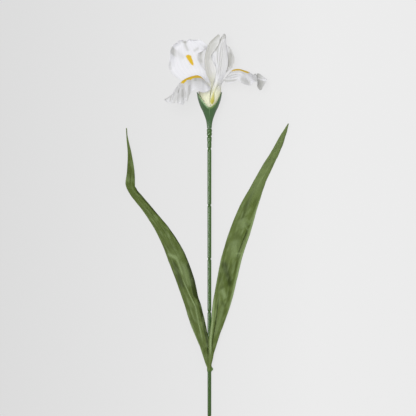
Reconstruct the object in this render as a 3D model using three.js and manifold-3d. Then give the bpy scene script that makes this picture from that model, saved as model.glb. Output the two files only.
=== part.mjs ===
// White iris flower on a cut stem, an artificial one, lying on a table.
// Millimetres. +Y runs up the stem to the flower, +Z is up from the table, and +X is to the right
// when the flower is seen from above with its petals at the far end.
import * as THREE from "three";
import Module from "manifold-3d";
import { mergeVertices } from "three/addons/utils/BufferGeometryUtils.js";

// Driving sizes of the stem
const STEM_LENGTH = 445.7; // cut end to the foot of the calyx
const STEM_RADIUS = 2.2;
const STEM_TOP_RADIUS = 2.4;
const STEM_BORE_RADIUS = 1.3;
const STEM_SIDES = 14;
const PINCHES_ALONG = [70, 138, 207, 276, 346]; // grooves pressed into the sleeve every 70 or so
const PINCH_DEPTH = 0.5;
const PINCH_HALF_LENGTH = 1.6;
// The beads of the neck lie between these cuts, which are given with the radius round them.
const NECK_CUTS = [
  { along: 419.5, radius: 2.6, depth: 0.5 },
  { along: 427.5, radius: 2.85, depth: 0.15 },
  { along: 435.5, radius: 3.15, depth: 0.8 },
  { along: 440.7, radius: 3.4, depth: 0.2 },
];
const NECK_TOP_RADIUS = 3.4;
const NECK_TOP_STEP = 0.6; // the last bead ends in a step, where it goes into the calyx
const CUT_HALF_LENGTH = 0.9;
const WIRE_RADIUS = 1;
const WIRE_LENGTH = 445.4;
const WIRE_SIDES = 8;

// How the stem lies: its cut end on the table, its throat held up by the petals
const THROAT_ALONG = 489;
const THROAT_LEAN = 0.8; // how far the petals lean to the right of the stem's axis at the throat
const THROAT_HEIGHT = 24;
const CUT_END_HEIGHT = STEM_RADIUS * Math.cos(Math.PI / STEM_SIDES);
const STEM_TILT = Math.asin((THROAT_HEIGHT - CUT_END_HEIGHT) / THROAT_ALONG);

// Leaf joint: a moulded collar round the stem with a knob on its right
const COLLAR_START = 129;
const COLLAR_END = 137;
const COLLAR_INNER_RADIUS = 2.5;
const COLLAR_OUTER_RADIUS = 3.1;
const COLLAR_CHAMFER = 0.35;
const COLLAR_SIDES = 20;
const KNOB_ALONG = 132.3;
const KNOB_OUT = 3.1;
const KNOB_SIZE = [1.7, 2.8, 1.9];
const KNOB_SIDES = 12;
const KNOB_ROWS = 8;

// Calyx: a cup with a lobe on each side. Heights are counted from the throat along the stem.
const CALYX_PROFILE = [
  [3, -43],
  [3.7, -36],
  [5.1, -30],
  [8.6, -21],
  [11.6, -15],
  [14.9, -5],
  [16.4, 4.2],
];
const CALYX_WALL = 0.8;
const CALYX_NOTCH_LEVEL = -15.6;
const CALYX_TIP_LEVEL = 4;
const LEFT_LOBE_POWER = 1.85;
const RIGHT_LOBE_POWER = 2.4;
const CALYX_SIDES = 36;
const CALYX_ROWS = 8;
const SEAM_DEPTH = 0.35;
const SEAM_HALF_ANGLE = 0.14;

// Peg inside the calyx that the petals are set round
const PEG_PROFILE = [
  [0, -43],
  [1.6, -43],
  [1.7, -40],
  [2, -36],
  [2.2, -30],
  [2.2, -17],
  [1.5, -12],
  [0, -9.5],
];
const PEG_SIDES = 12;

// Fabric blades
const CLAW_FOOT_LEVEL = -28;
const RUFFLE_END = 0.12; // share of a petal over which its waves die away at the tip
const FOLD_END = 0.125; // a pleat dies away over this share of its length, to each side of its ends
const CURL_POWER = 1.4; // how much faster a curl rises at the margin than at its hinge
const CURL_FADE = 2 / 3; // share of a curl's half length over which it dies away at each end
const LOBE_POWER = 2; // how much of a lobe is left to the margin
const PETAL_THICKNESS = 0.6;
const LEAF_THICKNESS = 0.7;
// A petal's plain claw takes fewer steps than the pleated and waved rest of it.
const PETAL_GRID = { plain: { share: 0.33, steps: 8 }, lengthSteps: 36, widthSteps: 10 };
const FALL_LEFT_GRID = { ...PETAL_GRID, lengthSteps: 46 }; // its edge has the most lobes
const LEAF_GRID = { lengthSteps: 60, widthSteps: 8 };

// Each row below is one cross-section of a petal: one edge, the midrib and the other edge, as
// [x, y, z] from the throat, with y up along the stem and z towards whoever looks down on it.
// The first rows are the claw, which stands in the calyx round the peg.
const FALL_BACK = [
  [[-3.6, -28, -2.1], [-1.8, -28, -3.7], [0.7, -28, -4]],
  [[-6.1, -18, -3.8], [-3, -18, -6.5], [1, -18, -7.1]],
  [[-8.2, -6, -5.7], [-4.2, -6, -9.1], [0.9, -6, -10]],
  [[-11, 5, -10], [-5.8, 7, -13.5], [0, 6, -13]],
  [[-20, 14, -17], [-9, 17, -17.5], [0.6, 18, -16.5]],
  [[-39, 20, -21], [-14.5, 26, -22], [4, 28, -20]],
  [[-52, 32, -23], [-20.5, 38, -27], [6.5, 41, -21]],
  [[-54, 48, -22], [-26, 49, -30], [5, 54, -21]],
  [[-51, 61, -22], [-30, 59, -30], [-2, 65, -21]],
  [[-43.5, 69.5, -23], [-32, 68, -28], [-13, 70.5, -22]],
  [[-37.5, 71, -24.5], [-32, 71.5, -26], [-24.5, 71.5, -24]],
];
const FALL_LEFT = [
  [[-4, -28, 1.1], [-2.5, -28, 3.2], [0.2, -28, 4.1]],
  [[-8.2, -18, 1.6], [-4.3, -18, 5.9], [3, -18, 6.6]],
  [[-10.6, -12, 1.6], [-5.8, -12, 7.2], [0.4, -12, 7.8]],
  [[-12.8, -6, 1.6], [-7.2, -6, 7.8], [-0.4, -6, 8]],
  [[-14.8, 4, 1], [-8, 5, 9.5], [0, 4, 11]],
  [[-13.5, 11.5, 3], [-6.2, 14, 11.5], [1.3, 9, 14.5]],
  [[-19.5, 17, 3], [-9, 20.7, 13.5], [-2, 6, 24]],
  [[-26, 18, 4], [-14.5, 25, 16], [-9, 4, 31]],
  [[-36, 10, 12], [-28.5, 22.5, 25], [-24.5, 2.5, 42]],
  [[-44.5, 3, 24], [-38, 15.5, 33], [-36, -10.4, 47]],
  [[-50, -2, 32], [-44, 6.5, 39], [-44, -8.5, 47.5]],
  [[-55, -4, 39], [-52, -1.3, 42.5], [-52, -9, 46]],
  [[-58, -4.5, 42], [-58.5, -5, 43], [-58, -6, 44]],
];
const FALL_RIGHT = [
  [[3.8, -28, -1.7], [4.1, -28, 1], [2.8, -28, 3.2]],
  [[6.6, -18, -2.7], [7.2, -18, 1.5], [4.4, -18, 5.2]],
  [[8.6, -12, -3.1], [9.4, -12, 1.9], [4.6, -12, 6.4]],
  [[10.4, -6, -4], [12.4, -6, 2.3], [6.4, -6, 8.2]],
  [[12.6, 4, -4], [13.5, 4, 3], [6.8, 4, 9.9]],
  [[14.6, 15.5, -5], [15, 14.5, 4], [12.6, 13.6, 12]],
  [[24, 23, -9], [22.4, 25, 3], [17.6, 19.6, 15]],
  [[31, 25, -17.5], [28.6, 32, 2.5], [24.7, 18, 18]],
  [[37.7, 23, -24], [36.4, 33.8, 2], [33.8, 18, 21]],
  [[45.5, 21, -26.5], [44.2, 32, 1], [43, 16.5, 22]],
  [[53.3, 22, -23], [51.4, 29, 0], [52, 13.7, 19.5]],
  [[59, 26, -15], [58.5, 23.5, -1], [58.5, 16.5, 13]],
  [[63.7, 28, -8], [66.3, 19.6, -2], [65.4, 6.8, 8]],
  [[70.9, 22, -4], [73.5, 18.8, -2], [69, 11.7, 3]],
];
const STANDARD_LEFT = [
  [[-1.7, -28, -2.9], [-3.2, -28, -0.6], [-2.5, -28, 2.1]],
  [[-1.4, -18, -3.4], [-3.2, -18, -0.7], [-2.4, -18, 2.5]],
  [[-0.3, -6, -3.9], [-2.4, -6, -0.8], [-1.4, -6, 2.9]],
  [[2.2, 6, -3.6], [0.2, 6, -0.7], [1.7, 6, 2.5]],
  [[3, 16, -4.8], [1, 16, -0.5], [4.2, 16, 6.2]],
  [[2.5, 26, -4], [-3.9, 26, 0], [7, 26, 8.8]],
  [[1.2, 35, -3.5], [-6, 35, 0.5], [7.8, 35, 9.5]],
  [[0.5, 43, -3], [-7, 43, 1], [3.8, 43, 8.5]],
  [[1.5, 51, -3], [-6.3, 51, 1], [1.6, 51, 7.8]],
  [[3.5, 60, -3], [-4.3, 60, 1], [6.4, 59, 7.8]],
  [[6, 68, -3], [-0.2, 68, 0.5], [11.6, 67, 7.6]],
  [[8.3, 74, -2], [6.2, 74.5, 1], [12.8, 73.5, 6]],
  [[10, 77.8, 0], [10.8, 78.8, 1.2], [12.4, 78, 2.6]],
];
const STANDARD_RIGHT = [
  [[-1.7, -28, 2.9], [1.1, -28, 3.1], [3.1, -28, 1.1]],
  [[-1.4, -18, 3.7], [2, -18, 4.3], [5.2, -18, 1.5]],
  [[-0.2, -6, 4.6], [3.6, -6, 5.4], [7.4, -6, 1.8]],
  [[2.1, 6, 4.8], [5.2, 6, 5.6], [8.8, 6, 1.6]],
  [[4.5, 14, 3.8], [8, 14, 6.6], [12, 14, 2]],
  [[5.6, 23, 4.6], [10, 23, 7.5], [16.5, 23, 2]],
  [[4.5, 34, 4.8], [11.4, 34, 7.8], [21.5, 34, 2.5]],
  [[2.4, 46, 4.5], [12.6, 46, 8], [23.2, 46, 3]],
  [[6.6, 60, 4.5], [14.4, 61, 7.5], [21.6, 61, 3]],
  [[12, 71, 4], [17, 72, 6.5], [20.6, 72, 2.5]],
  [[15.6, 76.5, 4], [18.2, 77.5, 6.5], [20.6, 77, 1.5]],
  [[17.4, 79.3, 4], [18.4, 79.8, 4.2], [19.4, 79.3, 3]],
];
const STANDARD_BACK = [
  [[-0.6, -28, -3.3], [2.1, -28, -2.5], [3.3, -28, -0.5]],
  [[-0.1, -18, -3.8], [3.1, -18, -3], [4.4, -18, -0.5]],
  [[1.2, -6, -4.4], [4.9, -6, -3.4], [6.4, -6, -0.6]],
  [[3.6, 6, -4.8], [7, 6, -3.2], [8.4, 6, -0.5]],
  [[1, 17, -8.2], [11, 17, -6], [14.5, 17, -1.5]],
  [[-3, 28, -7.5], [12, 28, -6.5], [20.5, 28, -1]],
  [[-11.5, 38, -5], [9, 38, -6.5], [29.6, 37, 0.6]],
  [[-17.2, 48, -3.5], [8, 48, -6], [32.2, 47, 2.6]],
  [[-15, 56, -3], [8, 58, -6], [30, 56, 2.6]],
  [[-6.5, 60, -4], [8, 65, -6], [25.2, 62.8, 0.6]],
  [[1, 66.5, -6], [8, 69, -6.5], [17, 67.5, -4]],
];

// Leaf rows are [y, x of the left edge, x of the right edge, then the heights of the left edge,
// the middle and the right edge above the table], with y from the stem's cut end.
const LEAF_LEFT = [
  [130, -0.8, 0.3, 11.7, 11.9, 11.9],
  [139, -4.9, 0, 9.9, 11.4, 12.3],
  [154.7, -9.6, -0.8, 9.5, 12.5, 12.8],
  [170.3, -15.7, -1.3, 8, 13, 13.2],
  [193.7, -25.2, -5.7, 5.5, 12, 11],
  [225, -35.6, -14.8, 3, 9.5, 7],
  [264, -49.9, -25.2, 1, 7, 4],
  [303, -65.5, -44.7, 0.4, 5, 2],
  [334, -83.7, -68, 0.4, 4.5, 1.5],
  [357.5, -102, -87.6, 2, 5, 1],
  [368, -107.6, -96, 4.5, 6, 2],
  [374, -109.3, -97.2, 6, 7, 4],
  [388.7, -107.4, -97.6, 9, 9, 7],
  [412, -106.2, -101.4, 12, 11.5, 10],
  [433, -107.8, -106, 12, 12, 11.5],
  [446, -108.4, -107.6, 11, 11, 11],
];
const LEAF_RIGHT = [
  [130, -0.4, 1.2, 12.9, 12.9, 12.7],
  [139, -0.8, 3, 13.3, 13.2, 11.9],
  [154.7, -0.9, 6.5, 14, 14, 10.5],
  [170.3, -1, 11.4, 14.6, 14.5, 9],
  [193.7, 2.3, 19.4, 13.5, 14, 6.5],
  [217, 4.7, 26.8, 10.5, 12, 4],
  [248, 9.9, 34.6, 7, 9.5, 2],
  [279.5, 16.4, 42.4, 4, 7, 0.8],
  [310.7, 25.9, 52.8, 2, 5.5, 0.3],
  [342, 38.5, 61.9, 0.8, 4.5, 0.3],
  [373, 55.4, 72.3, 0.3, 4, 0.3],
  [396.5, 68.4, 82.7, 0.5, 4.5, 1],
  [420, 82.7, 93, 3, 6, 4],
  [435.5, 91.8, 98.3, 6, 8, 6],
  [443.3, 97, 100.9, 8.5, 9.5, 8.5],
  [451.8, 102.4, 103.2, 11, 11, 11],
];

// Waves along a petal's margins, from the share "from" of its length on
const FALL_BACK_RUFFLE = { from: 0.4, growth: 0.3, waves: 5, shift: 1.2, height: 2 };
const FALL_LEFT_RUFFLE = { from: 0.4, growth: 0.4, waves: 6, shift: 0.6, height: 1.6 };
const FALL_RIGHT_RUFFLE = { from: 0.4, growth: 0.4, waves: 6, shift: 2, height: 1.4 };
const STANDARD_BACK_RUFFLE = { from: 0.5, growth: 0.3, waves: 4, shift: 0.5, height: 0.6 };

// Pleats and creases: where each starts and ends as shares along and across, its half width and its
// height. Across is -1 at one edge, 0 at the midrib and 1 at the other edge, and past 1 the pleat
// runs out over the edge. The height is towards the side that "across" times "along" points to.
const FALL_BACK_FOLDS = [
  { start: [0.79, -0.02], end: [1, -0.1], halfWidth: 1.6, height: 1.6 },
  { start: [0.7, 0.22], end: [1.1, 0.7], halfWidth: 2, height: -1.6 },
  { start: [0.78, 0.12], end: [1.1, 0.3], halfWidth: 2.2, height: 1.2 },
  { start: [0.62, -0.45], end: [0.9, -0.6], halfWidth: 3, height: 0.9 },
  { start: [0.48, 0.3], end: [0.7, 0.6], halfWidth: 2.5, height: 0.8 },
];
const FALL_LEFT_FOLDS = [
  { start: [0.65, 0.15], end: [0.66, 1.3], halfWidth: 1.6, height: 2 },
  { start: [0.685, 0.2], end: [0.69, 1.3], halfWidth: 1.5, height: -1.8 },
  { start: [0.725, 0.2], end: [0.725, 1.3], halfWidth: 1.6, height: 2.2 },
  { start: [0.76, 0.2], end: [0.76, 1.3], halfWidth: 1.3, height: -1.2 },
  { start: [0.79, 0], end: [0.8, 1.1], halfWidth: 1.8, height: 1.8 },
  { start: [0.87, -0.5], end: [0.88, 0.8], halfWidth: 1.6, height: 1.5 },
  { start: [0.53, 0.3], end: [0.57, 1.2], halfWidth: 2.5, height: 1 },
];
const FALL_RIGHT_FOLDS = [
  { start: [0.7, 0.3], end: [0.78, 1.2], halfWidth: 1.6, height: -1.6 },
  { start: [0.84, -1.2], end: [0.86, 1.2], halfWidth: 1.6, height: 2.5 },
];
const LEAF_LEFT_FOLDS = [
  { start: [0.41, 0.35], end: [0.35, 0.15], halfWidth: 2, height: 1.4 },
  { start: [0.405, -0.4], end: [0.35, -0.45], halfWidth: 2.5, height: -1.5 },
];
const LEAF_RIGHT_FOLDS = [
  { start: [0.44, -0.4], end: [0.37, 0.75], halfWidth: 2.2, height: -2 },
  { start: [0.41, -0.5], end: [0.34, 0.5], halfWidth: 2.5, height: 1.2 },
];

// Curled margins, each between two shares of the length. Reach is how far in it goes, as a share of
// the half width.
const FALL_BACK_CURLS = [
  { start: 0.66, end: 0.86, side: -1, reach: 0.3, height: 2.5 },
  { start: 0.48, end: 0.68, side: -1, reach: 0.25, height: -1 },
];
const STANDARD_BACK_CURLS = [
  { start: 0.52, end: 0.95, side: -1, reach: 0.26, height: 2 },
  { start: 0.55, end: 1, side: 1, reach: 0.36, height: 1.5 },
];
const LEAF_LEFT_CURLS = [
  { start: 0.3, end: 0.44, side: 1, reach: 0.3, height: -3 },
  { start: 0.18, end: 0.34, side: 1, reach: 0.25, height: -1 },
];
const LEAF_RIGHT_CURLS = [{ start: 0.18, end: 0.74, side: 1, reach: 0.3, height: 1.5 }];

// Lobes of an outline, which go out of it, or into it where the size is below 0. Each is highest at
// the share "along".
const FALL_LEFT_LOBES = [
  { along: 0.645, side: 1, halfLength: 0.03, size: -4.5 },
  { along: 0.697, side: 1, halfLength: 0.015, size: 5 },
  { along: 0.717, side: 1, halfLength: 0.01, size: -3.5 },
  { along: 0.737, side: 1, halfLength: 0.014, size: 2 },
  { along: 0.832, side: 1, halfLength: 0.012, size: -4 },
];
const FALL_RIGHT_LOBES = [
  { along: 0.635, side: 1, halfLength: 0.02, size: -2.5 },
  { along: 0.7, side: 1, halfLength: 0.03, size: 1.5 },
];

const wasm = await Module();
wasm.setup();

function solidFrom(geometry) {
  const bare = geometry.clone();
  bare.deleteAttribute("normal");
  bare.deleteAttribute("uv");
  const merged = mergeVertices(bare, 1e-4);
  const vertProperties = merged.attributes.position.array;
  const triVerts = new Uint32Array(merged.index.array);
  return new wasm.Manifold(new wasm.Mesh({ numProp: 3, vertProperties, triVerts }));
}

function geometryFrom(solid) {
  const mesh = solid.getMesh();
  const geometry = new THREE.BufferGeometry();
  geometry.setAttribute("position", new THREE.BufferAttribute(mesh.vertProperties, 3));
  geometry.setIndex(new THREE.BufferAttribute(mesh.triVerts, 1));
  geometry.computeVertexNormals();
  return geometry;
}

function material(color, roughness, metalness = 0) {
  return new THREE.MeshStandardMaterial({ color, roughness, metalness });
}

const petalFabric = () => material(0xf2f1ec, 0.75);
const leafFabric = () => material(0x5f783f, 0.7);
const greenPlastic = () => material(0x4b6b45, 0.5);
const calyxPlastic = () => material(0x3c5f41, 0.45);

function part(name, geometry, surface) {
  const mesh = new THREE.Mesh(geometry, surface);
  mesh.name = name;
  return mesh;
}

// A point given from the throat, placed in the table's frame
const throatFrame = new THREE.Matrix4()
  .makeRotationX(STEM_TILT)
  .setPosition(
    0,
    THROAT_ALONG * Math.cos(STEM_TILT),
    CUT_END_HEIGHT + THROAT_ALONG * Math.sin(STEM_TILT),
  );

// The petals stand straight in the foot of the calyx and lean over by the throat.
function fromThroat([x, y, z]) {
  const lean = THROAT_LEAN * THREE.MathUtils.clamp(1 - y / CLAW_FOOT_LEVEL, 0, 1);
  return new THREE.Vector3(x + lean, y, z).applyMatrix4(throatFrame);
}

function petalRows(rows) {
  return rows.map((row) => row.map(fromThroat));
}

function leafRows(rows) {
  return rows.map(([y, left, right, leftHeight, middleHeight, rightHeight]) => [
    new THREE.Vector3(left, y, leftHeight),
    new THREE.Vector3((left + right) / 2, y, middleHeight),
    new THREE.Vector3(right, y, rightHeight),
  ]);
}

// Where a place on a blade lies on the flat cloth: across from the midrib, and along it
function clothPlaces([edge, midrib, other]) {
  const pieces = 100;
  const ways = [0];
  for (let i = 1; i <= pieces; i += 1) {
    const way = midrib.getPoint(i / pieces).distanceTo(midrib.getPoint((i - 1) / pieces));
    ways.push(ways.at(-1) + way);
  }
  return (along, across) => {
    const share = THREE.MathUtils.clamp(along, 0, 1);
    const half = (across < 0 ? edge : other).getPoint(share).distanceTo(midrib.getPoint(share));
    const piece = Math.min(Math.floor(share * pieces), pieces - 1);
    const way = THREE.MathUtils.lerp(ways[piece], ways[piece + 1], share * pieces - piece);
    return new THREE.Vector2(across * half, way);
  };
}

// A pleat is highest along its line and dies away beside it and at its ends.
function foldHeight({ start, end, halfWidth, height }, place, placeOf) {
  const from = placeOf(...start);
  const run = placeOf(...end).sub(from);
  const offset = place.clone().sub(from);
  const share = offset.dot(run) / run.lengthSq();
  const aside = offset.cross(run) / run.length();
  const rise = THREE.MathUtils.smoothstep(share, -FOLD_END, FOLD_END);
  const fade = THREE.MathUtils.smoothstep(1 - share, -FOLD_END, FOLD_END);
  return height * rise * fade * Math.exp(-((aside / halfWidth) ** 2));
}

function curlHeight({ start, end, side, reach, height }, along, across) {
  const offCentre = Math.abs(2 * along - start - end) / (end - start);
  const stretch = THREE.MathUtils.smoothstep(1 - offCentre, 0, CURL_FADE);
  const inward = THREE.MathUtils.clamp((across * side - 1 + reach) / reach, 0, 1);
  return height * (stretch * inward) ** CURL_POWER;
}

function lobeReach({ along: top, side, halfLength, size }, along, across) {
  const outward = THREE.MathUtils.clamp(across * side, 0, 1) ** LOBE_POWER;
  return size * outward * Math.exp(-(((along - top) / halfLength) ** 2));
}

function ruffleHeight({ from, growth, waves, shift, height }, along, across) {
  const grown = Math.min((along - from) / growth, (1 - along) / RUFFLE_END, 1);
  const wave = Math.sin(2 * Math.PI * waves * along + Math.sign(across) * shift);
  return height * Math.max(grown, 0) * Math.abs(across) ** 3 * wave;
}

// The middle surface of a blade: a curve runs along each edge and the midrib, and a parabola
// joins them across. along goes from 0 to 1, across from -1 to 1.
function bladeSurface({ rows, ruffle, folds = [], curls = [], lobes = [] }) {
  const lines = [0, 1, 2].map((side) => {
    const points = rows.map((row) => row[side]);
    return new THREE.CatmullRomCurve3(points, false, "catmullrom", 0.5);
  });
  const placeOf = clothPlaces(lines);
  const bare = (along, across) => {
    const weights = [(across * (across - 1)) / 2, 1 - across * across, (across * (across + 1)) / 2];
    const point = new THREE.Vector3();
    lines.forEach((line, side) => point.addScaledVector(line.getPoint(along), weights[side]));
    return point;
  };
  return (along, across) => {
    const step = 0.01;
    const before = Math.max(along - step, 0);
    const after = Math.min(along + step, 1);
    const lengthwise = bare(after, across).sub(bare(before, across));
    const crosswise = bare(along, across + step).sub(bare(along, across - step));
    const outward = crosswise.clone().setLength(Math.sign(across));
    const normal = crosswise.cross(lengthwise).normalize();
    const place = placeOf(along, across);
    let lift = ruffle ? ruffleHeight(ruffle, along, across) : 0;
    for (const fold of folds) lift += foldHeight(fold, place, placeOf);
    for (const curl of curls) lift += curlHeight(curl, along, across);
    let reach = 0;
    for (const lobe of lobes) reach += lobeReach(lobe, along, across);
    return bare(along, across).addScaledVector(normal, lift).addScaledVector(outward, reach);
  };
}

// A thin closed blade about its middle surface. What would sink below the table lies flat on it.
function bladeGeometry(shape, thickness, { plain, lengthSteps, widthSteps }) {
  const surface = bladeSurface(shape);
  const half = thickness / 2;
  const alongAt = (i) => {
    if (!plain) return i / lengthSteps;
    if (i <= plain.steps) return (i / plain.steps) * plain.share;
    return plain.share + ((i - plain.steps) / (lengthSteps - plain.steps)) * (1 - plain.share);
  };
  const grid = [];
  for (let i = 0; i <= lengthSteps; i += 1) {
    const line = [];
    for (let j = 0; j <= widthSteps; j += 1) {
      line.push(surface(alongAt(i), (2 * j) / widthSteps - 1));
    }
    grid.push(line);
  }
  const clampTo = (value, top) => Math.min(Math.max(value, 0), top);
  const normalAt = (i, j) => {
    const lengthwise = grid[clampTo(i + 1, lengthSteps)][j].clone();
    lengthwise.sub(grid[clampTo(i - 1, lengthSteps)][j]);
    const crosswise = grid[i][clampTo(j + 1, widthSteps)].clone();
    crosswise.sub(grid[i][clampTo(j - 1, widthSteps)]);
    return crosswise.cross(lengthwise).normalize();
  };
  const positions = [];
  const addFace = (side) => {
    for (let i = 0; i <= lengthSteps; i += 1) {
      for (let j = 0; j <= widthSteps; j += 1) {
        const normal = normalAt(i, j);
        const point = grid[i][j].clone().addScaledVector(normal, side * half);
        const flat = grid[i][j].z <= half;
        if (flat) point.set(grid[i][j].x, grid[i][j].y, side * normal.z > 0 ? thickness : 0);
        point.z = Math.max(point.z, 0);
        positions.push(point.x, point.y, point.z);
      }
    }
  };
  addFace(1);
  addFace(-1);
  const wide = widthSteps + 1;
  const below = wide * (lengthSteps + 1);
  const index = [];
  const addQuad = (a, b, c, d) => index.push(a, b, c, a, c, d);
  for (let i = 0; i < lengthSteps; i += 1) {
    for (let j = 0; j < widthSteps; j += 1) {
      const a = i * wide + j;
      addQuad(a, a + 1, a + wide + 1, a + wide);
      index.push(a + below, a + wide + 1 + below, a + 1 + below);
      index.push(a + below, a + wide + below, a + wide + 1 + below);
    }
    const left = i * wide;
    const right = left + widthSteps;
    addQuad(left + wide, left + wide + below, left + below, left);
    addQuad(right, right + below, right + wide + below, right + wide);
  }
  for (let j = 0; j < widthSteps; j += 1) {
    const end = lengthSteps * wide + j;
    addQuad(j, j + below, j + 1 + below, j + 1);
    addQuad(end + 1, end + 1 + below, end + below, end);
  }
  const geometry = new THREE.BufferGeometry();
  geometry.setAttribute("position", new THREE.Float32BufferAttribute(positions, 3));
  geometry.setIndex(index);
  geometry.computeVertexNormals();
  return geometry;
}

function petal(name, rows, waves = {}, grid = PETAL_GRID) {
  const shape = { ...waves, rows: petalRows(rows) };
  return part(name, bladeGeometry(shape, PETAL_THICKNESS, grid), petalFabric());
}

function leaf(name, rows, waves) {
  const shape = { ...waves, rows: leafRows(rows) };
  return part(name, bladeGeometry(shape, LEAF_THICKNESS, LEAF_GRID), leafFabric());
}

function lathe(profile, sides) {
  const points = profile.map(([radius, along]) => new THREE.Vector2(radius, along));
  return new THREE.LatheGeometry(points, sides);
}

// The plastic sleeve of the stem, with its pinched grooves and the beads under the calyx
function stem() {
  const profile = [
    [STEM_BORE_RADIUS, 0],
    [STEM_RADIUS, 0],
  ];
  const pinch = (along, radius) => {
    profile.push([radius, along - PINCH_HALF_LENGTH]);
    profile.push([radius - PINCH_DEPTH, along - PINCH_HALF_LENGTH / 3]);
    profile.push([radius - PINCH_DEPTH, along + PINCH_HALF_LENGTH / 3]);
    profile.push([radius, along + PINCH_HALF_LENGTH]);
  };
  for (const along of PINCHES_ALONG) {
    const share = along / STEM_LENGTH;
    pinch(along, STEM_RADIUS + (STEM_TOP_RADIUS - STEM_RADIUS) * share);
  }
  NECK_CUTS.forEach(({ along, radius, depth }, i) => {
    profile.push([i > 0 ? radius : STEM_TOP_RADIUS, along - CUT_HALF_LENGTH]);
    profile.push([radius - depth, along]);
    profile.push([radius, along + CUT_HALF_LENGTH]);
  });
  profile.push([NECK_TOP_RADIUS, STEM_LENGTH - CUT_HALF_LENGTH]);
  profile.push([NECK_TOP_RADIUS - NECK_TOP_STEP, STEM_LENGTH]);
  profile.push([STEM_BORE_RADIUS, STEM_LENGTH]);
  profile.push([STEM_BORE_RADIUS, 0]);
  const geometry = lathe(profile, STEM_SIDES).rotateY(Math.PI / STEM_SIDES);
  return part("stem", geometry, greenPlastic());
}

function stemWire() {
  const profile = [
    [0, 0],
    [WIRE_RADIUS, 0],
    [WIRE_RADIUS, WIRE_LENGTH],
    [0, WIRE_LENGTH],
  ];
  return part("stem_wire", lathe(profile, WIRE_SIDES), material(0x8b8d90, 0.4, 0.9));
}

function leafCollar() {
  const inner = COLLAR_INNER_RADIUS;
  const outer = COLLAR_OUTER_RADIUS;
  const profile = [
    [inner, COLLAR_START],
    [outer - COLLAR_CHAMFER, COLLAR_START],
    [outer, COLLAR_START + COLLAR_CHAMFER],
    [outer, COLLAR_END - COLLAR_CHAMFER],
    [outer - COLLAR_CHAMFER, COLLAR_END],
    [inner, COLLAR_END],
    [inner, COLLAR_START],
  ];
  const ring = solidFrom(lathe(profile, COLLAR_SIDES));
  const ball = new THREE.SphereGeometry(1, KNOB_SIDES, KNOB_ROWS).scale(...KNOB_SIZE);
  const knob = solidFrom(ball.translate(KNOB_OUT, KNOB_ALONG, 0));
  const clearance = solidFrom(
    lathe(
      [
        [0, COLLAR_START - KNOB_ALONG],
        [inner, COLLAR_START - KNOB_ALONG],
        [inner, COLLAR_END + KNOB_ALONG],
        [0, COLLAR_END + KNOB_ALONG],
      ],
      COLLAR_SIDES,
    ),
  );
  const joined = ring.add(knob.subtract(clearance));
  return part("leaf_collar", geometryFrom(joined), greenPlastic());
}

// The cup of the calyx is a ring of cross-sections, each as high as its lobe is there.
function calyx() {
  const points = CALYX_PROFILE.map(([radius, level]) => new THREE.Vector3(radius, level, 0));
  const outline = new THREE.CatmullRomCurve3(points, false, "catmullrom", 0.5);
  const samples = outline.getPoints(60);
  const radiusAt = (level) => {
    const above = samples.findIndex((sample) => sample.y >= level);
    if (above <= 0) return samples[0].x;
    const low = samples[above - 1];
    const high = samples[above];
    return low.x + ((level - low.y) / (high.y - low.y)) * (high.x - low.x);
  };
  const foot = CALYX_PROFILE[0][1];
  const positions = [];
  const loop = 2 * CALYX_ROWS + 2;
  for (let i = 0; i < CALYX_SIDES; i += 1) {
    const angle = (2 * Math.PI * i) / CALYX_SIDES;
    const sideways = Math.cos(angle);
    const power = sideways < 0 ? LEFT_LOBE_POWER : RIGHT_LOBE_POWER;
    const rise = (CALYX_TIP_LEVEL - CALYX_NOTCH_LEVEL) * Math.abs(sideways) ** power;
    const rim = CALYX_NOTCH_LEVEL + rise;
    const seam = SEAM_DEPTH * Math.exp(-((sideways / SEAM_HALF_ANGLE) ** 2));
    const place = (level, inset) => {
      const radius = radiusAt(level) - inset - seam;
      positions.push(radius * sideways, level, radius * Math.sin(angle));
    };
    for (let k = 0; k <= CALYX_ROWS; k += 1) place(foot + ((rim - foot) * k) / CALYX_ROWS, 0);
    for (let k = CALYX_ROWS; k >= 0; k -= 1) place(foot + ((rim - foot) * k) / CALYX_ROWS, CALYX_WALL);
  }
  const index = [];
  for (let i = 0; i < CALYX_SIDES; i += 1) {
    const here = i * loop;
    const next = ((i + 1) % CALYX_SIDES) * loop;
    for (let k = 0; k < loop; k += 1) {
      const up = (k + 1) % loop;
      index.push(here + k, here + up, next + up);
      index.push(here + k, next + up, next + k);
    }
  }
  const geometry = new THREE.BufferGeometry();
  geometry.setAttribute("position", new THREE.Float32BufferAttribute(positions, 3));
  geometry.setIndex(index);
  geometry.computeVertexNormals();
  return part("calyx", geometry, calyxPlastic());
}

function petalPeg() {
  return part("petal_peg", lathe(PEG_PROFILE, PEG_SIDES), material(0xa8a645, 0.5));
}

function headOfPlastic() {
  const head = new THREE.Group();
  head.position.y = THROAT_ALONG;
  head.add(calyx(), petalPeg());
  return head;
}

function stemInItsFrame() {
  const upright = new THREE.Group();
  upright.position.z = CUT_END_HEIGHT;
  upright.rotation.x = STEM_TILT;
  upright.add(stem(), stemWire(), leafCollar(), headOfPlastic());
  return upright;
}

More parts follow.
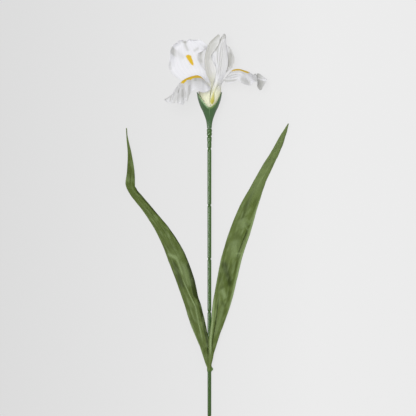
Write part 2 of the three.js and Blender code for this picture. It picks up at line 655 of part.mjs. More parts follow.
const flower = new THREE.Group();
flower.add(stemInItsFrame());
flower.add(
  petal("fall_back", FALL_BACK, {
    ruffle: FALL_BACK_RUFFLE,
    folds: FALL_BACK_FOLDS,
    curls: FALL_BACK_CURLS,
  }),
  petal(
    "fall_left",
    FALL_LEFT,
    { ruffle: FALL_LEFT_RUFFLE, folds: FALL_LEFT_FOLDS, lobes: FALL_LEFT_LOBES },
    FALL_LEFT_GRID,
  ),
  petal("fall_right", FALL_RIGHT, {
    ruffle: FALL_RIGHT_RUFFLE,
    folds: FALL_RIGHT_FOLDS,
    lobes: FALL_RIGHT_LOBES,
  }),
  petal("standard_left", STANDARD_LEFT),
  petal("standard_right", STANDARD_RIGHT),
  petal("standard_back", STANDARD_BACK, {
    ruffle: STANDARD_BACK_RUFFLE,
    curls: STANDARD_BACK_CURLS,
  }),
);
flower.add(
  leaf("leaf_left", LEAF_LEFT, { folds: LEAF_LEFT_FOLDS, curls: LEAF_LEFT_CURLS }),
  leaf("leaf_right", LEAF_RIGHT, { folds: LEAF_RIGHT_FOLDS, curls: LEAF_RIGHT_CURLS }),
);

// The origin is under the middle of the flower, on the table.
flower.updateMatrixWorld(true);
const extent = new THREE.Box3().setFromObject(flower, true);
const middle = extent.getCenter(new THREE.Vector3());
flower.position.set(-middle.x, -middle.y, -extent.min.z);

export default flower;
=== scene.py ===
"""A white iris of fabric and moulded plastic, cut and laid on a pale table. Metres, +Z up.

The stem lies along +Y with its flower at the far end. The camera looks straight down on it.
"""

import math
from collections import namedtuple
from functools import partial

import bmesh
import bpy
import numpy as np
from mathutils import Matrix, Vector, noise


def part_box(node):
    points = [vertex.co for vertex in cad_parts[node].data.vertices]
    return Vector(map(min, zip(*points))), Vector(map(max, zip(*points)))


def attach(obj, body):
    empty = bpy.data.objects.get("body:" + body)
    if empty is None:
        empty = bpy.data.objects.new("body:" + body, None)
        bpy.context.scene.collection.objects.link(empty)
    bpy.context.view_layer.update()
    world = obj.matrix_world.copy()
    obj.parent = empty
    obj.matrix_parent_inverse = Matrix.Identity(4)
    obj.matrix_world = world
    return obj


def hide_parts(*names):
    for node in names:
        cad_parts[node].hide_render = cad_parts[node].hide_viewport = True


bl_info = {
    "name": "White Iris Stem",
    "version": (1, 0, 0),
    "blender": (4, 5, 0),
    "location": "3D View > Sidebar > Iris",
    "description": "Dresses a lying iris stem with fabric petals, strap leaves and moulded plastic",
    "category": "Object",
}

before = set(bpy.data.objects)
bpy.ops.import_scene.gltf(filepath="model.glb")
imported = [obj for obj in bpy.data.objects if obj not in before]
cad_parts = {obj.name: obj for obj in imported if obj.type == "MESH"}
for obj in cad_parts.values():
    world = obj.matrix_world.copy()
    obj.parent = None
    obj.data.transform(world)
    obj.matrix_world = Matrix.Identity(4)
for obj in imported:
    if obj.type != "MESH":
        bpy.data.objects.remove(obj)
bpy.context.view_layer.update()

# One millimetre. The tables below are in millimetres, as the patterns of the flower are drawn.
MM = 0.001

# The stem, from its cut end, and how it lies: tilted so that its throat is held up by the petals
STEM_RADIUS = 2.2 * MM
STEM_TOP_RADIUS = 2.4 * MM
STEM_LENGTH = 445.7 * MM
STEM_SIDES_IN_FRAME = 14
THROAT_ALONG = 489 * MM
THROAT_HEIGHT = 24 * MM
THROAT_LEAN = 0.8 * MM
CLAW_FOOT = -28 * MM
CUT_END_HEIGHT = STEM_RADIUS * math.cos(math.pi / STEM_SIDES_IN_FRAME)
TILT = math.asin((THROAT_HEIGHT - CUT_END_HEIGHT) / THROAT_ALONG)

# Where the stem's cut end is on the table, worked out from the frame's own stem
STEM_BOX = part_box("stem")
CUT_END_X = (STEM_BOX[0][0] + STEM_BOX[1][0]) / 2
CUT_END_Y = STEM_BOX[0][1] + CUT_END_HEIGHT * math.sin(TILT)

# The sleeve is fuller than the frame's many-sided stem: by this much, from this far up
SLEEVE_SWELL = 0.22
SLEEVE_SWELL_FROM = 60

# Grooves pinched into the sleeve, and those between the beads under the calyx: along, and deep
PINCHES = [70, 138, 207, 276, 346]
PINCH_DEPTH = 0.9
NECK_GROOVES = [(419.5, 0.8), (427.5, 0.3), (435.5, 0.9), (440.7, 0.4), (445.6, 0.8)]
GROOVE_HALF_LENGTH = 1

# The beads: where they start, and the sleeve's radius from there on, as along and radius
NECK_START = 419.5
NECK_RADII = [(419.5, 2.6), (427.5, 2.85), (435.5, 3.15), (441, 3.4), (445.7, 3.4)]

# Steps along the sleeve's skin where it is plain, at a pinch and at the beads, and how far the
# finer ones reach round a pinch and before the beads
PLAIN_STEP = 8
PINCH_STEP = 0.3
NECK_STEP = 0.25
PINCH_REACH = 3
NECK_REACH = 2

# Sides and levels of the turned skins
STEM_SIDES = 40
COLLAR_SIDES = 48
COLLAR_LEVELS = 25
PEG_SIDES = 32
PEG_LEVELS = 49
CALYX_SIDES = 216
CALYX_LEVELS = 41
CALYX_OUTLINE_STEPS = 200
MERGE_DISTANCE = 0.001 * MM

# The moulded ring at the foot of the leaves, a little rounded at its ends, and the knob on it
COLLAR_START = 129
COLLAR_END = 137
COLLAR_INNER_RADIUS = 2.5
COLLAR_OUTER_RADIUS = 3.1
COLLAR_ROUNDING = 0.3
COLLAR_FLATNESS = 8
KNOB_ALONG = 132.3
KNOB_HALF_LENGTH = 2.8
KNOB_HEIGHT = 1.7
KNOB_FLATNESS = 4
KNOB_POINTEDNESS = 3

# The calyx: radius and level from the throat, and how its rim rises to a lobe on each side
CALYX_PROFILE = [
    (3, -43), (3.7, -36), (5.1, -30), (8.6, -21), (11.6, -15), (14.9, -5), (16.4, 4.2)
]
CALYX_NOTCH_LEVEL = -15.6
CALYX_TIP_LEVEL = 4
LEFT_LOBE_POWER = 1.85
RIGHT_LOBE_POWER = 2.4

# Its seam, the flash that stands out of it, and its ribs with how steeply they start at the foot.
# Here and below, places and widths go from -1 at its left side over 0 at its seam to 1 at its right.
SEAM_DEPTH = 0.35
SEAM_HALF_WIDTH = 0.14
FLASH_HEIGHT = 0.35
FLASH_HALF_WIDTH = 0.035
CALYX_RIBS = 26
CALYX_RIB_HEIGHT = 0.12
CALYX_RIB_START = 3

# The dip in the rim of the right lobe: how deep, where and how wide
RIM_DIP = 2.2
RIM_DIP_AT = 0.68
RIM_DIP_HALF_WIDTH = 0.16

# The mark of the mould's gate on the calyx: its place, its level, its size and its height
GATE_SIDEWAYS = -0.55
GATE_LEVEL = -20
GATE_SIZE = 0.8
GATE_HEIGHT = 0.5

# How much paler the calyx is, and where: along its thin rim, more next to the notch on the right,
# and as painted highlight along the left lobe's edge and on the upper part of the flash
RIM_PALENESS = 0.15
RIM_PALE_FROM = 0.88
RIM_PALE_FADE = 0.1
NOTCH_PALENESS = 0.85
NOTCH_PALE_AT = 0.35
NOTCH_PALE_HALF_WIDTH = 0.3
LIP_PALENESS = 0.85
LIP_END = -0.98
LIP_END_STEEPNESS = 6
LIP_STEEPNESS = 4
FLASH_PALENESS = 0.35
FLASH_PALE_HALF_WIDTH = 0.04
FLASH_PALE_FROM = 0.5
FLASH_STEEPNESS = 4

# The peg that the petals are set round: radius and level from the throat
PEG_PROFILE = [
    (0, -43), (1.6, -43), (1.7, -40), (2, -36), (2.2, -30), (2.2, -17), (1.5, -12), (0, -9.5)
]

# Each row is one cross-section of a petal: one edge, the midrib and the other edge, as x, y, z
# from the throat, with y up along the stem and z towards whoever looks down on it.
FALL_BACK = [
    [[-3.6, -28, -2.1], [-1.8, -28, -3.7], [0.7, -28, -4]],
    [[-6.1, -18, -3.8], [-3, -18, -6.5], [1, -18, -7.1]],
    [[-8.2, -6, -5.7], [-4.2, -6, -9.1], [0.9, -6, -10]],
    [[-11, 5, -10], [-5.8, 7, -13.5], [0, 6, -13]],
    [[-20, 14, -17], [-9, 17, -17.5], [0.6, 18, -16.5]],
    [[-39, 20, -21], [-14.5, 26, -22], [4, 28, -20]],
    [[-52, 32, -23], [-20.5, 38, -27], [6.5, 41, -21]],
    [[-54, 48, -22], [-26, 49, -30], [5, 54, -21]],
    [[-51, 61, -22], [-30, 59, -30], [-2, 65, -21]],
    [[-43.5, 69.5, -23], [-32, 68, -28], [-13, 70.5, -22]],
    [[-37.5, 71, -24.5], [-32, 71.5, -26], [-24.5, 71.5, -24]],
]
FALL_LEFT = [
    [[-4, -28, 1.1], [-2.5, -28, 3.2], [0.2, -28, 4.1]],
    [[-8.2, -18, 1.6], [-4.3, -18, 5.9], [3, -18, 6.6]],
    [[-10.6, -12, 1.6], [-5.8, -12, 7.2], [0.4, -12, 7.8]],
    [[-12.8, -6, 1.6], [-7.2, -6, 7.8], [-0.4, -6, 8]],
    [[-14.8, 4, 1], [-8, 5, 9.5], [0, 4, 11]],
    [[-13.5, 11.5, 3], [-6.2, 14, 11.5], [1.3, 9, 14.5]],
    [[-19.5, 17, 3], [-9, 20.7, 13.5], [-2, 6, 24]],
    [[-26, 18, 4], [-14.5, 25, 16], [-9, 4, 31]],
    [[-36, 10, 12], [-28.5, 22.5, 25], [-24.5, 2.5, 42]],
    [[-44.5, 3, 24], [-38, 15.5, 33], [-36, -10.4, 47]],
    [[-50, -2, 32], [-44, 6.5, 39], [-44, -8.5, 47.5]],
    [[-55, -4, 39], [-52, -1.3, 42.5], [-52, -9, 46]],
    [[-58, -4.5, 42], [-58.5, -5, 43], [-58, -6, 44]],
]
FALL_RIGHT = [
    [[3.8, -28, -1.7], [4.1, -28, 1], [2.8, -28, 3.2]],
    [[6.6, -18, -2.7], [7.2, -18, 1.5], [4.4, -18, 5.2]],
    [[8.6, -12, -3.1], [9.4, -12, 1.9], [4.6, -12, 6.4]],
    [[10.4, -6, -4], [12.4, -6, 2.3], [6.4, -6, 8.2]],
    [[12.6, 4, -4], [13.5, 4, 3], [6.8, 4, 9.9]],
    [[14.6, 15.5, -5], [15, 14.5, 4], [12.6, 13.6, 12]],
    [[24, 23, -9], [22.4, 25, 3], [17.6, 19.6, 15]],
    [[31, 25, -17.5], [28.6, 32, 2.5], [24.7, 18, 18]],
    [[37.7, 23, -24], [36.4, 33.8, 2], [33.8, 18, 21]],
    [[45.5, 21, -26.5], [44.2, 32, 1], [43, 16.5, 22]],
    [[53.3, 22, -23], [51.4, 29, 0], [52, 13.7, 19.5]],
    [[59, 26, -15], [58.5, 23.5, -1], [58.5, 16.5, 13]],
    [[63.7, 28, -8], [66.3, 19.6, -2], [65.4, 6.8, 8]],
    [[70.9, 22, -4], [73.5, 18.8, -2], [69, 11.7, 3]],
]
STANDARD_LEFT = [
    [[-1.7, -28, -2.9], [-3.2, -28, -0.6], [-2.5, -28, 2.1]],
    [[-1.4, -18, -3.4], [-3.2, -18, -0.7], [-2.4, -18, 2.5]],
    [[-0.3, -6, -3.9], [-2.4, -6, -0.8], [-1.4, -6, 2.9]],
    [[2.2, 6, -3.6], [0.2, 6, -0.7], [1.7, 6, 2.5]],
    [[3, 16, -4.8], [1, 16, -0.5], [4.2, 16, 6.2]],
    [[2.5, 26, -4], [-3.9, 26, 0], [7, 26, 8.8]],
    [[1.2, 35, -3.5], [-6, 35, 0.5], [7.8, 35, 9.5]],
    [[0.5, 43, -3], [-7, 43, 1], [3.8, 43, 8.5]],
    [[1.5, 51, -3], [-6.3, 51, 1], [1.6, 51, 7.8]],
    [[3.5, 60, -3], [-4.3, 60, 1], [6.4, 59, 7.8]],
    [[6, 68, -3], [-0.2, 68, 0.5], [11.6, 67, 7.6]],
    [[8.3, 74, -2], [6.2, 74.5, 1], [12.8, 73.5, 6]],
    [[10, 77.8, 0], [10.8, 78.8, 1.2], [12.4, 78, 2.6]],
]
STANDARD_RIGHT = [
    [[-1.7, -28, 2.9], [1.1, -28, 3.1], [3.1, -28, 1.1]],
    [[-1.4, -18, 3.7], [2, -18, 4.3], [5.2, -18, 1.5]],
    [[-0.2, -6, 4.6], [3.6, -6, 5.4], [7.4, -6, 1.8]],
    [[2.1, 6, 4.8], [5.2, 6, 5.6], [8.8, 6, 1.6]],
    [[4.5, 14, 3.8], [8, 14, 6.6], [12, 14, 2]],
    [[5.6, 23, 4.6], [10, 23, 7.5], [16.5, 23, 2]],
    [[4.5, 34, 4.8], [11.4, 34, 7.8], [21.5, 34, 2.5]],
    [[2.4, 46, 4.5], [12.6, 46, 8], [23.2, 46, 3]],
    [[6.6, 60, 4.5], [14.4, 61, 7.5], [21.6, 61, 3]],
    [[12, 71, 4], [17, 72, 6.5], [20.6, 72, 2.5]],
    [[15.6, 76.5, 4], [18.2, 77.5, 6.5], [20.6, 77, 1.5]],
    [[17.4, 79.3, 4], [18.4, 79.8, 4.2], [19.4, 79.3, 3]],
]
STANDARD_BACK = [
    [[-0.6, -28, -3.3], [2.1, -28, -2.5], [3.3, -28, -0.5]],
    [[-0.1, -18, -3.8], [3.1, -18, -3], [4.4, -18, -0.5]],
    [[1.2, -6, -4.4], [4.9, -6, -3.4], [6.4, -6, -0.6]],
    [[3.6, 6, -4.8], [7, 6, -3.2], [8.4, 6, -0.5]],
    [[1, 17, -8.2], [11, 17, -6], [14.5, 17, -1.5]],
    [[-3, 28, -7.5], [12, 28, -6.5], [20.5, 28, -1]],
    [[-11.5, 38, -5], [9, 38, -6.5], [29.6, 37, 0.6]],
    [[-17.2, 48, -3.5], [8, 48, -6], [32.2, 47, 2.6]],
    [[-15, 56, -3], [8, 58, -6], [30, 56, 2.6]],
    [[-6.5, 60, -4], [8, 65, -6], [25.2, 62.8, 0.6]],
    [[1, 66.5, -6], [8, 69, -6.5], [17, 67.5, -4]],
]

# Leaf rows are y, x of the left edge, x of the right edge, then the heights of the left edge,
# the middle and the right edge above the table, with y from the stem's cut end.
LEAF_LEFT = [
    [130, -0.8, 0.3, 11.7, 11.9, 11.9],
    [139, -4.9, 0, 9.9, 11.4, 12.3],
    [154.7, -9.6, -0.8, 9.5, 12.5, 12.8],
    [170.3, -15.7, -1.3, 8, 13, 13.2],
    [193.7, -25.2, -5.7, 5.5, 12, 11],
    [225, -35.6, -14.8, 3, 9.5, 7],
    [264, -49.9, -25.2, 1, 7, 4],
    [303, -65.5, -44.7, 0.4, 5, 2],
    [334, -83.7, -68, 0.4, 4.5, 1.5],
    [357.5, -102, -87.6, 2, 5, 1],
    [368, -107.6, -96, 4.5, 6, 2],
    [374, -109.3, -97.2, 6, 7, 4],
    [388.7, -107.4, -97.6, 9, 9, 7],
    [412, -106.2, -101.4, 12, 11.5, 10],
    [433, -107.8, -106, 12, 12, 11.5],
    [446, -108.4, -107.6, 11, 11, 11],
]
LEAF_RIGHT = [
    [130, -0.4, 1.2, 12.9, 12.9, 12.7],
    [139, -0.8, 3, 13.3, 13.2, 11.9],
    [154.7, -0.9, 6.5, 14, 14, 10.5],
    [170.3, -1, 11.4, 14.6, 14.5, 9],
    [193.7, 2.3, 19.4, 13.5, 14, 6.5],
    [217, 4.7, 26.8, 10.5, 12, 4],
    [248, 9.9, 34.6, 7, 9.5, 2],
    [279.5, 16.4, 42.4, 4, 7, 0.8],
    [310.7, 25.9, 52.8, 2, 5.5, 0.3],
    [342, 38.5, 61.9, 0.8, 4.5, 0.3],
    [373, 55.4, 72.3, 0.3, 4, 0.3],
    [396.5, 68.4, 82.7, 0.5, 4.5, 1],
    [420, 82.7, 93, 3, 6, 4],
    [435.5, 91.8, 98.3, 6, 8, 6],
    [443.3, 97, 100.9, 8.5, 9.5, 8.5],
    [451.8, 102.4, 103.2, 11, 11, 11],
]

# Waves along a petal's margins. They start at the share "start" of its length, grow over the
# share "growth", and fade out over the last share of it.
Ruffle = namedtuple("Ruffle", "start growth waves shift height")
RUFFLE_END = 0.12
RUFFLE_POWER = 3

# A fold runs from one place on a blade to another. Places are shares along and across, where
# across is -1 at one edge, 0 at the midrib and 1 at the other edge, and a place past the edge
# lets the fold run out over it. Half width and height are in millimetres. The height is towards
# the side that the cross product of "across" and "along" points to.
Fold = namedtuple("Fold", "along across to_along to_across half_width height")

# A mark along such a line is painted shade with some real dye, and has its share at the line's
# middle: dark above 0, with a sharper edge above 1, and on a leaf a painted highlight below 0.
Stain = namedtuple("Stain", "along across to_along to_across half_width share")

# A curl lifts or lowers a margin between two shares of the length, from "reach" of the half
# width in, by height millimetres. Side is -1 or 1, and share is the painted shade on it, as for a line
# mark.
Curl = namedtuple("Curl", "start end side reach height share")

# A lobe moves a margin out of the outline, or into it where its size is below 0. It is highest at
# the share "along", and half length is a share too. Size is in millimetres, and side is -1 or 1.
Lobe = namedtuple("Lobe", "along side half_length size")

# How steeply a line fades at its ends, and a curl at its own, and how a curl, its painted shade and a
# lobe rise towards the margin
LINE_END = 4
CURL_END = 1.5
CURL_POWER = 1.4
CURL_PAINTED_SHADE = 1.8
LOBE_POWER = 2

# The yellow signal: shares along from its point to its wide end, its half width there, where its
# middle runs across, and how slowly it widens
Signal = namedtuple("Signal", "start end half_width across taper")
SIGNAL_END = 6

# A petal or leaf. Only a leaf has no flush, which is where the green of a petal's foot starts to
# fade along it, where it ends, and the share of it that stays up to the tip.
Blade = namedtuple(
    "Blade", "name node rows flush ruffle signal folds curls stains lobes",
    defaults=(None, None, None, (), (), (), ()),
)
FALL_FLUSH = (0.28, 0.42, 0)
LEFT_STANDARD_FLUSH = (0.2, 0.5, 0.12)
STANDARD_FLUSH = (0.18, 0.45, 0.06)

# The line marks and curl shares of the petals are painted shade where they fold, curl and overlap
FALLS = [
    Blade(
        "fall_back_petal", "fall_back", FALL_BACK, FALL_FLUSH, ruffle=Ruffle(0.4, 0.3, 5, 1.2, 2),
        signal=Signal(0.605, 0.735, 3.7, -0.05, 0.35),
        folds=[
            Fold(0.79, -0.02, 1, -0.1, 1.6, 1.6), Fold(0.7, 0.22, 1.1, 0.7, 2, -1.6),
            Fold(0.78, 0.12, 1.1, 0.3, 2.2, 1.2), Fold(0.62, -0.45, 0.9, -0.6, 3, 0.9),
            Fold(0.48, 0.3, 0.7, 0.6, 2.5, 0.8),
        ],
        curls=[Curl(0.66, 0.86, -1, 0.3, 2.5, 0), Curl(0.48, 0.68, -1, 0.25, -1, 0.1)],
        stains=[
            Stain(0.98, -0.1, 0.89, -0.06, 2.8, 0.95), Stain(0.9, -0.08, 0.78, 0.04, 2.2, 0.6),
            Stain(0.81, -0.8, 0.73, -0.82, 5.2, 0.72), Stain(0.78, -0.62, 0.69, -0.3, 4.5, 0.3),
            Stain(0.8, 0.58, 0.765, 0.27, 1.6, 0.5), Stain(0.8, 0.84, 0.73, 0.84, 1.6, 0.5),
            Stain(0.67, -0.97, 0.6, -0.97, 2, 0.35), Stain(0.66, 0.75, 0.6, 0.72, 2, 0.3),
        ],
    ),
    Blade(
        "fall_left_petal", "fall_left", FALL_LEFT, FALL_FLUSH, ruffle=Ruffle(0.4, 0.4, 6, 0.6, 1.6),
        signal=Signal(0.48, 0.755, 6.5, 0.02, 0.15),
        folds=[
            Fold(0.65, 0.15, 0.66, 1.3, 1.6, 2), Fold(0.685, 0.2, 0.69, 1.3, 1.5, -1.8),
            Fold(0.725, 0.2, 0.725, 1.3, 1.6, 2.2), Fold(0.76, 0.2, 0.76, 1.3, 1.3, -1.2),
            Fold(0.79, 0, 0.8, 1.1, 1.8, 1.8), Fold(0.87, -0.5, 0.88, 0.8, 1.6, 1.5),
            Fold(0.53, 0.3, 0.57, 1.2, 2.5, 1),
        ],
        stains=[
            Stain(0.58, 0.35, 0.9, 0.45, 13, 0.5), Stain(0.615, 0.15, 0.63, 0.5, 3, 1),
            Stain(0.675, 0.6, 0.69, 1.05, 3.2, 0.75), Stain(0.74, 0.45, 0.745, 0.8, 4.6, 0.8),
            Stain(0.8, 0.25, 0.8, 0.5, 3, 1), Stain(0.9, 0, 0.91, 0.9, 2, 0.8),
            Stain(0.46, 0.5, 0.62, 0.42, 5, 0.7), Stain(0.7, 0.9, 0.88, 0.9, 6, 0.6),
            Stain(0.88, -0.6, 1.03, 0, 6, 0.6),
        ],
        lobes=[
            Lobe(0.645, 1, 0.03, -4.5), Lobe(0.697, 1, 0.015, 5), Lobe(0.717, 1, 0.01, -3.5),
            Lobe(0.737, 1, 0.014, 2), Lobe(0.832, 1, 0.012, -4),
        ],
    ),
    Blade(
        "fall_right_petal", "fall_right", FALL_RIGHT, FALL_FLUSH, ruffle=Ruffle(0.4, 0.4, 6, 2, 1.4),
        signal=Signal(0.535, 0.775, 6, 0.06, 0.15),
        folds=[
            Fold(0.44, 0.45, 0.68, 0.35, 1.1, -1.2), Fold(0.44, 0.7, 0.66, 0.6, 1.1, -1.4),
            Fold(0.46, 0.85, 0.62, 0.85, 1, 1), Fold(0.7, 0.3, 0.78, 1.2, 2, -0.7),
            Fold(0.84, -1.2, 0.86, 1.2, 1.6, 2.5),
        ],
        stains=[
            Stain(0.885, -0.95, 0.885, -0.1, 9, 0.9), Stain(0.92, 0.02, 0.9, 1, 9, 0.95),
            Stain(0.66, 0.85, 0.78, 0.98, 5, 0.6), Stain(0.55, 0.35, 0.78, 0.35, 7, 0.3),
            Stain(0.46, 0.38, 0.64, 0.28, 1.5, 0.5), Stain(0.44, 0.66, 0.63, 0.58, 1.3, 0.7),
            Stain(0.5, 0.82, 0.63, 0.78, 1, 0.5), Stain(0.44, 0.96, 0.62, 0.94, 1.2, 0.8),
        ],
        lobes=[Lobe(0.53, 1, 0.06, 3), Lobe(0.635, 1, 0.02, -2.5), Lobe(0.7, 1, 0.03, 1.5)],
    ),
]
STANDARDS = [
    Blade(
        "standard_left_petal", "standard_left", STANDARD_LEFT, LEFT_STANDARD_FLUSH,
        folds=[Fold(0.42, 0.4, 0.85, 0.3, 1.2, -0.9), Fold(0.45, 0.75, 0.75, 0.65, 1.2, 0.8)],
        stains=[
            Stain(0.3, 0.45, 0.7, 0.45, 9, 0.55), Stain(0.6, 0.15, 0.9, 0.15, 8, 0.8),
            Stain(0.6, 0.75, 0.85, 0.65, 5, 0.6), Stain(0.8, 0, 1.1, 0, 7, 1),
        ],
    ),
    Blade(
        "standard_right_petal", "standard_right", STANDARD_RIGHT, STANDARD_FLUSH,
        folds=[
            Fold(0.74, -0.55, 0.56, -0.2, 0.9, -1.1), Fold(0.68, -0.9, 0.56, -0.6, 0.9, -1.1),
            Fold(0.86, 0.02, 0.45, 0, 0.8, -1.1), Fold(0.76, 0.45, 0.5, 0.4, 1, -0.6),
        ],
        curls=[Curl(0.25, 0.72, 1, 0.5, 1, 0), Curl(0.52, 0.8, -1, 0.4, 2, 0)],
        stains=[
            Stain(0.83, 0.2, 1.1, 0.2, 7, 0.65), Stain(0.87, -0.82, 0.71, -0.85, 2.6, 1.15),
            Stain(0.72, -0.5, 0.6, -0.25, 0.9, 0.6), Stain(0.8, 0.05, 0.5, 0, 1.2, 0.5),
            Stain(0.8, 0.35, 0.5, 0.3, 4, 0.3),
        ],
        lobes=[Lobe(0.68, -1, 0.06, 3)],
    ),
    Blade(
        "standard_back_petal", "standard_back", STANDARD_BACK, STANDARD_FLUSH,
        ruffle=Ruffle(0.5, 0.3, 4, 0.5, 0.6),
        folds=[Fold(0.35, 0.5, 0.85, 0.55, 4.5, 4)],
        curls=[Curl(0.52, 0.95, -1, 0.26, 2, 0.3), Curl(0.55, 1, 1, 0.36, 1.5, 0.6)],
        stains=[
            Stain(0.64, -0.9, 0.8, -0.88, 3.2, 0.6), Stain(0.58, 0.86, 0.79, 0.88, 5, 0.85),
            Stain(0.46, 0.78, 0.64, 0.78, 4, 0.4),
        ],
    ),
]
# The leaves' line marks and curl shares are painted shade above 0 and painted highlight below 0
LEAVES = [
    Blade(
        "strap_leaf_left", "leaf_left", LEAF_LEFT,
        folds=[
            Fold(0.375, -0.2, 0.3, 0.4, 1, 1.2), Fold(0.32, 0.36, 0.2, -0.1, 1, 1),
            Fold(0.43, -0.7, 0.41, 0.2, 3, 1.2), Fold(0.41, 0.35, 0.35, 0.15, 2, 1.4),
            Fold(0.405, -0.4, 0.35, -0.45, 2.5, -1.5), Fold(0.667, -1.3, 0.66, 1.3, 2, 0.6),
            Fold(0.62, 0.1, 0.45, 0.1, 1, -0.8), Fold(0.5, -0.4, 0.43, -0.3, 1.5, 0.8),
            Fold(0.95, 0, 0.68, 0.1, 1, -0.8),
        ],
        curls=[
            Curl(0.3, 0.44, 1, 0.3, -3, 1), Curl(0.18, 0.34, 1, 0.25, -1, 0.9),
            Curl(0.5, 0.69, 1, 0.15, -0.5, 1), Curl(0.76, 0.9, -1, 0.2, -0.5, 0.8),
            Curl(0.05, 0.33, -1, 0.2, 0.5, -0.6),
        ],
        stains=[
            Stain(-0.05, 0, 1, 0, 30, 0.2), Stain(0.375, -0.2, 0.3, 0.4, 0.9, -0.6),
            Stain(0.32, 0.36, 0.2, -0.1, 1.2, -0.5), Stain(0.36, 0.15, 0.28, 0.5, 0.8, 0.5),
            Stain(0.43, -0.75, 0.42, 0.1, 3, -0.6), Stain(0.425, 0, 0.385, -0.05, 2, -0.5),
            Stain(0.41, 0.4, 0.36, 0.3, 3.2, -0.4), Stain(0.415, -0.5, 0.355, -0.55, 3.6, 0.8),
            Stain(0.405, 0.95, 0.335, 0.8, 3.2, 4), Stain(0.52, 1, 0.4, 1, 0.9, 2),
            Stain(0.37, 0.97, 0.12, 0.97, 1.6, 1.8), Stain(0.655, -1, 0.65, 1, 2.5, 0.25),
            Stain(0.665, 0.97, 0.53, 0.97, 1.8, 2.6),
        ],
        lobes=[Lobe(0.365, 1, 0.05, 2), Lobe(0.42, 1, 0.16, 1.3)],
    ),
    Blade(
        "strap_leaf_right", "leaf_right", LEAF_RIGHT,
        folds=[
            Fold(0.54, 0.72, 0.465, 0.6, 1.1, -1.5), Fold(0.56, 0.2, 0.55, 0.9, 0.9, 1),
            Fold(0.542, 0.2, 0.53, 0.8, 0.9, 1), Fold(0.757, -0.5, 0.757, 1.2, 1.2, -0.6),
            Fold(0.45, -0.7, 0.385, 0.62, 3.5, -1), Fold(0.41, -0.5, 0.34, 0.5, 2.5, 1.2),
            Fold(0.35, -0.95, 0.12, -0.3, 1.2, 1.4), Fold(0.35, -0.45, 0.15, 0.1, 0.9, -1.4),
            Fold(0.5, 0, 0.47, 0.5, 1.5, 1),
        ],
        curls=[
            Curl(0.18, 0.74, 1, 0.36, 1.5, -0.7), Curl(0.34, 0.5, -1, 0.2, 0.5, -0.5),
            Curl(0.74, 0.92, 1, 0.3, -0.5, 1),
        ],
        stains=[
            Stain(0.63, 0.1, 1.05, 0.1, 16, -0.25), Stain(0.54, 0.72, 0.465, 0.6, 0.9, 1),
            Stain(0.757, -0.5, 0.757, 1.2, 1.6, 0.4), Stain(0.45, -0.72, 0.384, 0.6, 4, 0.95),
            Stain(0.57, -0.2, 0.545, 0.3, 6, -0.4), Stain(0.53, -0.5, 0.512, 0.4, 5, 0.28),
            Stain(0.51, -0.2, 0.462, 0.45, 7, -0.38), Stain(0.568, 0.25, 0.558, 0.85, 1, -0.4),
            Stain(0.558, 0.25, 0.547, 0.85, 1, 0.6), Stain(0.549, 0.3, 0.538, 0.8, 1, -0.4),
            Stain(0.475, 0.2, 0.472, 0.8, 1.2, -0.7), Stain(0.375, -0.3, 0.35, 0.3, 3, -0.5),
            Stain(0.34, -0.1, 0.325, 0.5, 2.5, 0.5), Stain(0.35, -0.95, 0.12, -0.3, 1.4, -0.8),
            Stain(0.35, -0.45, 0.15, 0.1, 0.9, 1), Stain(0.33, 0.2, 0.22, 0.25, 3, -0.4),
            Stain(0.65, -0.3, 0.56, -0.2, 3, 0.5),
        ],
        lobes=[Lobe(0.84, 1, 0.1, 1.8), Lobe(0.77, -1, 0.08, -1)],
    ),
]

# The olive foot of the front standard: shares along of its round end, its widest place and its
# point, its half width in millimetres, and how far its dye has faded at its point
DROP_PETAL = "standard_right"
DROP_END = 0.14
DROP_WIDEST = 0.17
DROP_POINT = 0.275
DROP_HALF_WIDTH = 3
DROP_FADE = 0.5

# This foot and a signal fade over this much at their edge, and end at this half width, in
# millimetres
DYE_EDGE = 0.8
DYE_LEAST_WIDTH = 0.1

# Spacing of the ribs pressed into the cloth, in millimetres
PETAL_RIB_SPACING = 2.2
LEAF_RIB_SPACING = 1.7

# Steps of the blades' grids, across and along. Then the steps by which a blade and its width are
# measured, the step in shares that gives its slope, and a length that only guards a division
FALL_GRID = (72, 150)
STANDARD_GRID = (64, 130)
LEAF_GRID = (64, 300)
MEASURE_STEPS = 101
WIDTH_STEPS = 41
SLOPE_STEP = 0.004
LEAST_LENGTH = 1e-9

# Dents and streaks of the leaves, each kind with its width and length in millimetres, its layer of
# the noise and its weight. Then their contrast, their height in millimetres, and how much painted
# highlight they put on the crests and painted shade in the hollows
CRINKLES = ((8, 12, 0, 1), (3, 7.5, 9, 0.7), (3, 30, 18, 0.7))
CRINKLE_CONTRAST = 1.3
CRINKLE_HEIGHT = 0.3
CRINKLE_PAINTED_SHADE = 0.26

# Roughness of each moulded piece, and the size of its flow marks
STEM_FINISH = (0.24, 9 * MM)
COLLAR_FINISH = (0.45, 5 * MM)
PEG_FINISH = (0.45, 4 * MM)
CALYX_FINISH = (0.3, 5 * MM)

# Polyethylene has an index of 1.51, but this skin shines less. Then the shades of its flow marks,
# the darker one of the calyx, and its pits
POLYETHYLENE_IOR = 1.35
FLOW_MARK_SHADES = (0.78, 1.05)
CALYX_MARK_SHADE = 0.75
PIT_SIZE = 0.6 * MM
PIT_DEPTH = 0.05 * MM
PIT_STRENGTH = 0.25

# Drawn steel: how many scratches a metre has across the wire, along it and across it, because they
# are 0.25 mm wide and 17 mm long, and how rough it is between them and in them
SCRATCHES = (4000, 60, 4000)
STEEL_ROUGHNESS = (0.25, 0.5)

# Threads of the petals' weave are about 0.2 mm apart, and are drawn at 0.31 mm so that they show.
# A wave texture of scale 1 has this many bands in a metre. Then what the woven cloth gives
THREAD_SPACING = 0.31431861 * MM
BANDS = 20 / math.tau
THREAD_DEPTH = 0.05 * MM
THREAD_STRENGTH = 0.3
PETAL_ROUGHNESS = 0.7
PETAL_SHEEN = 0.1
PETAL_LIGHT_THROUGH = 0.35

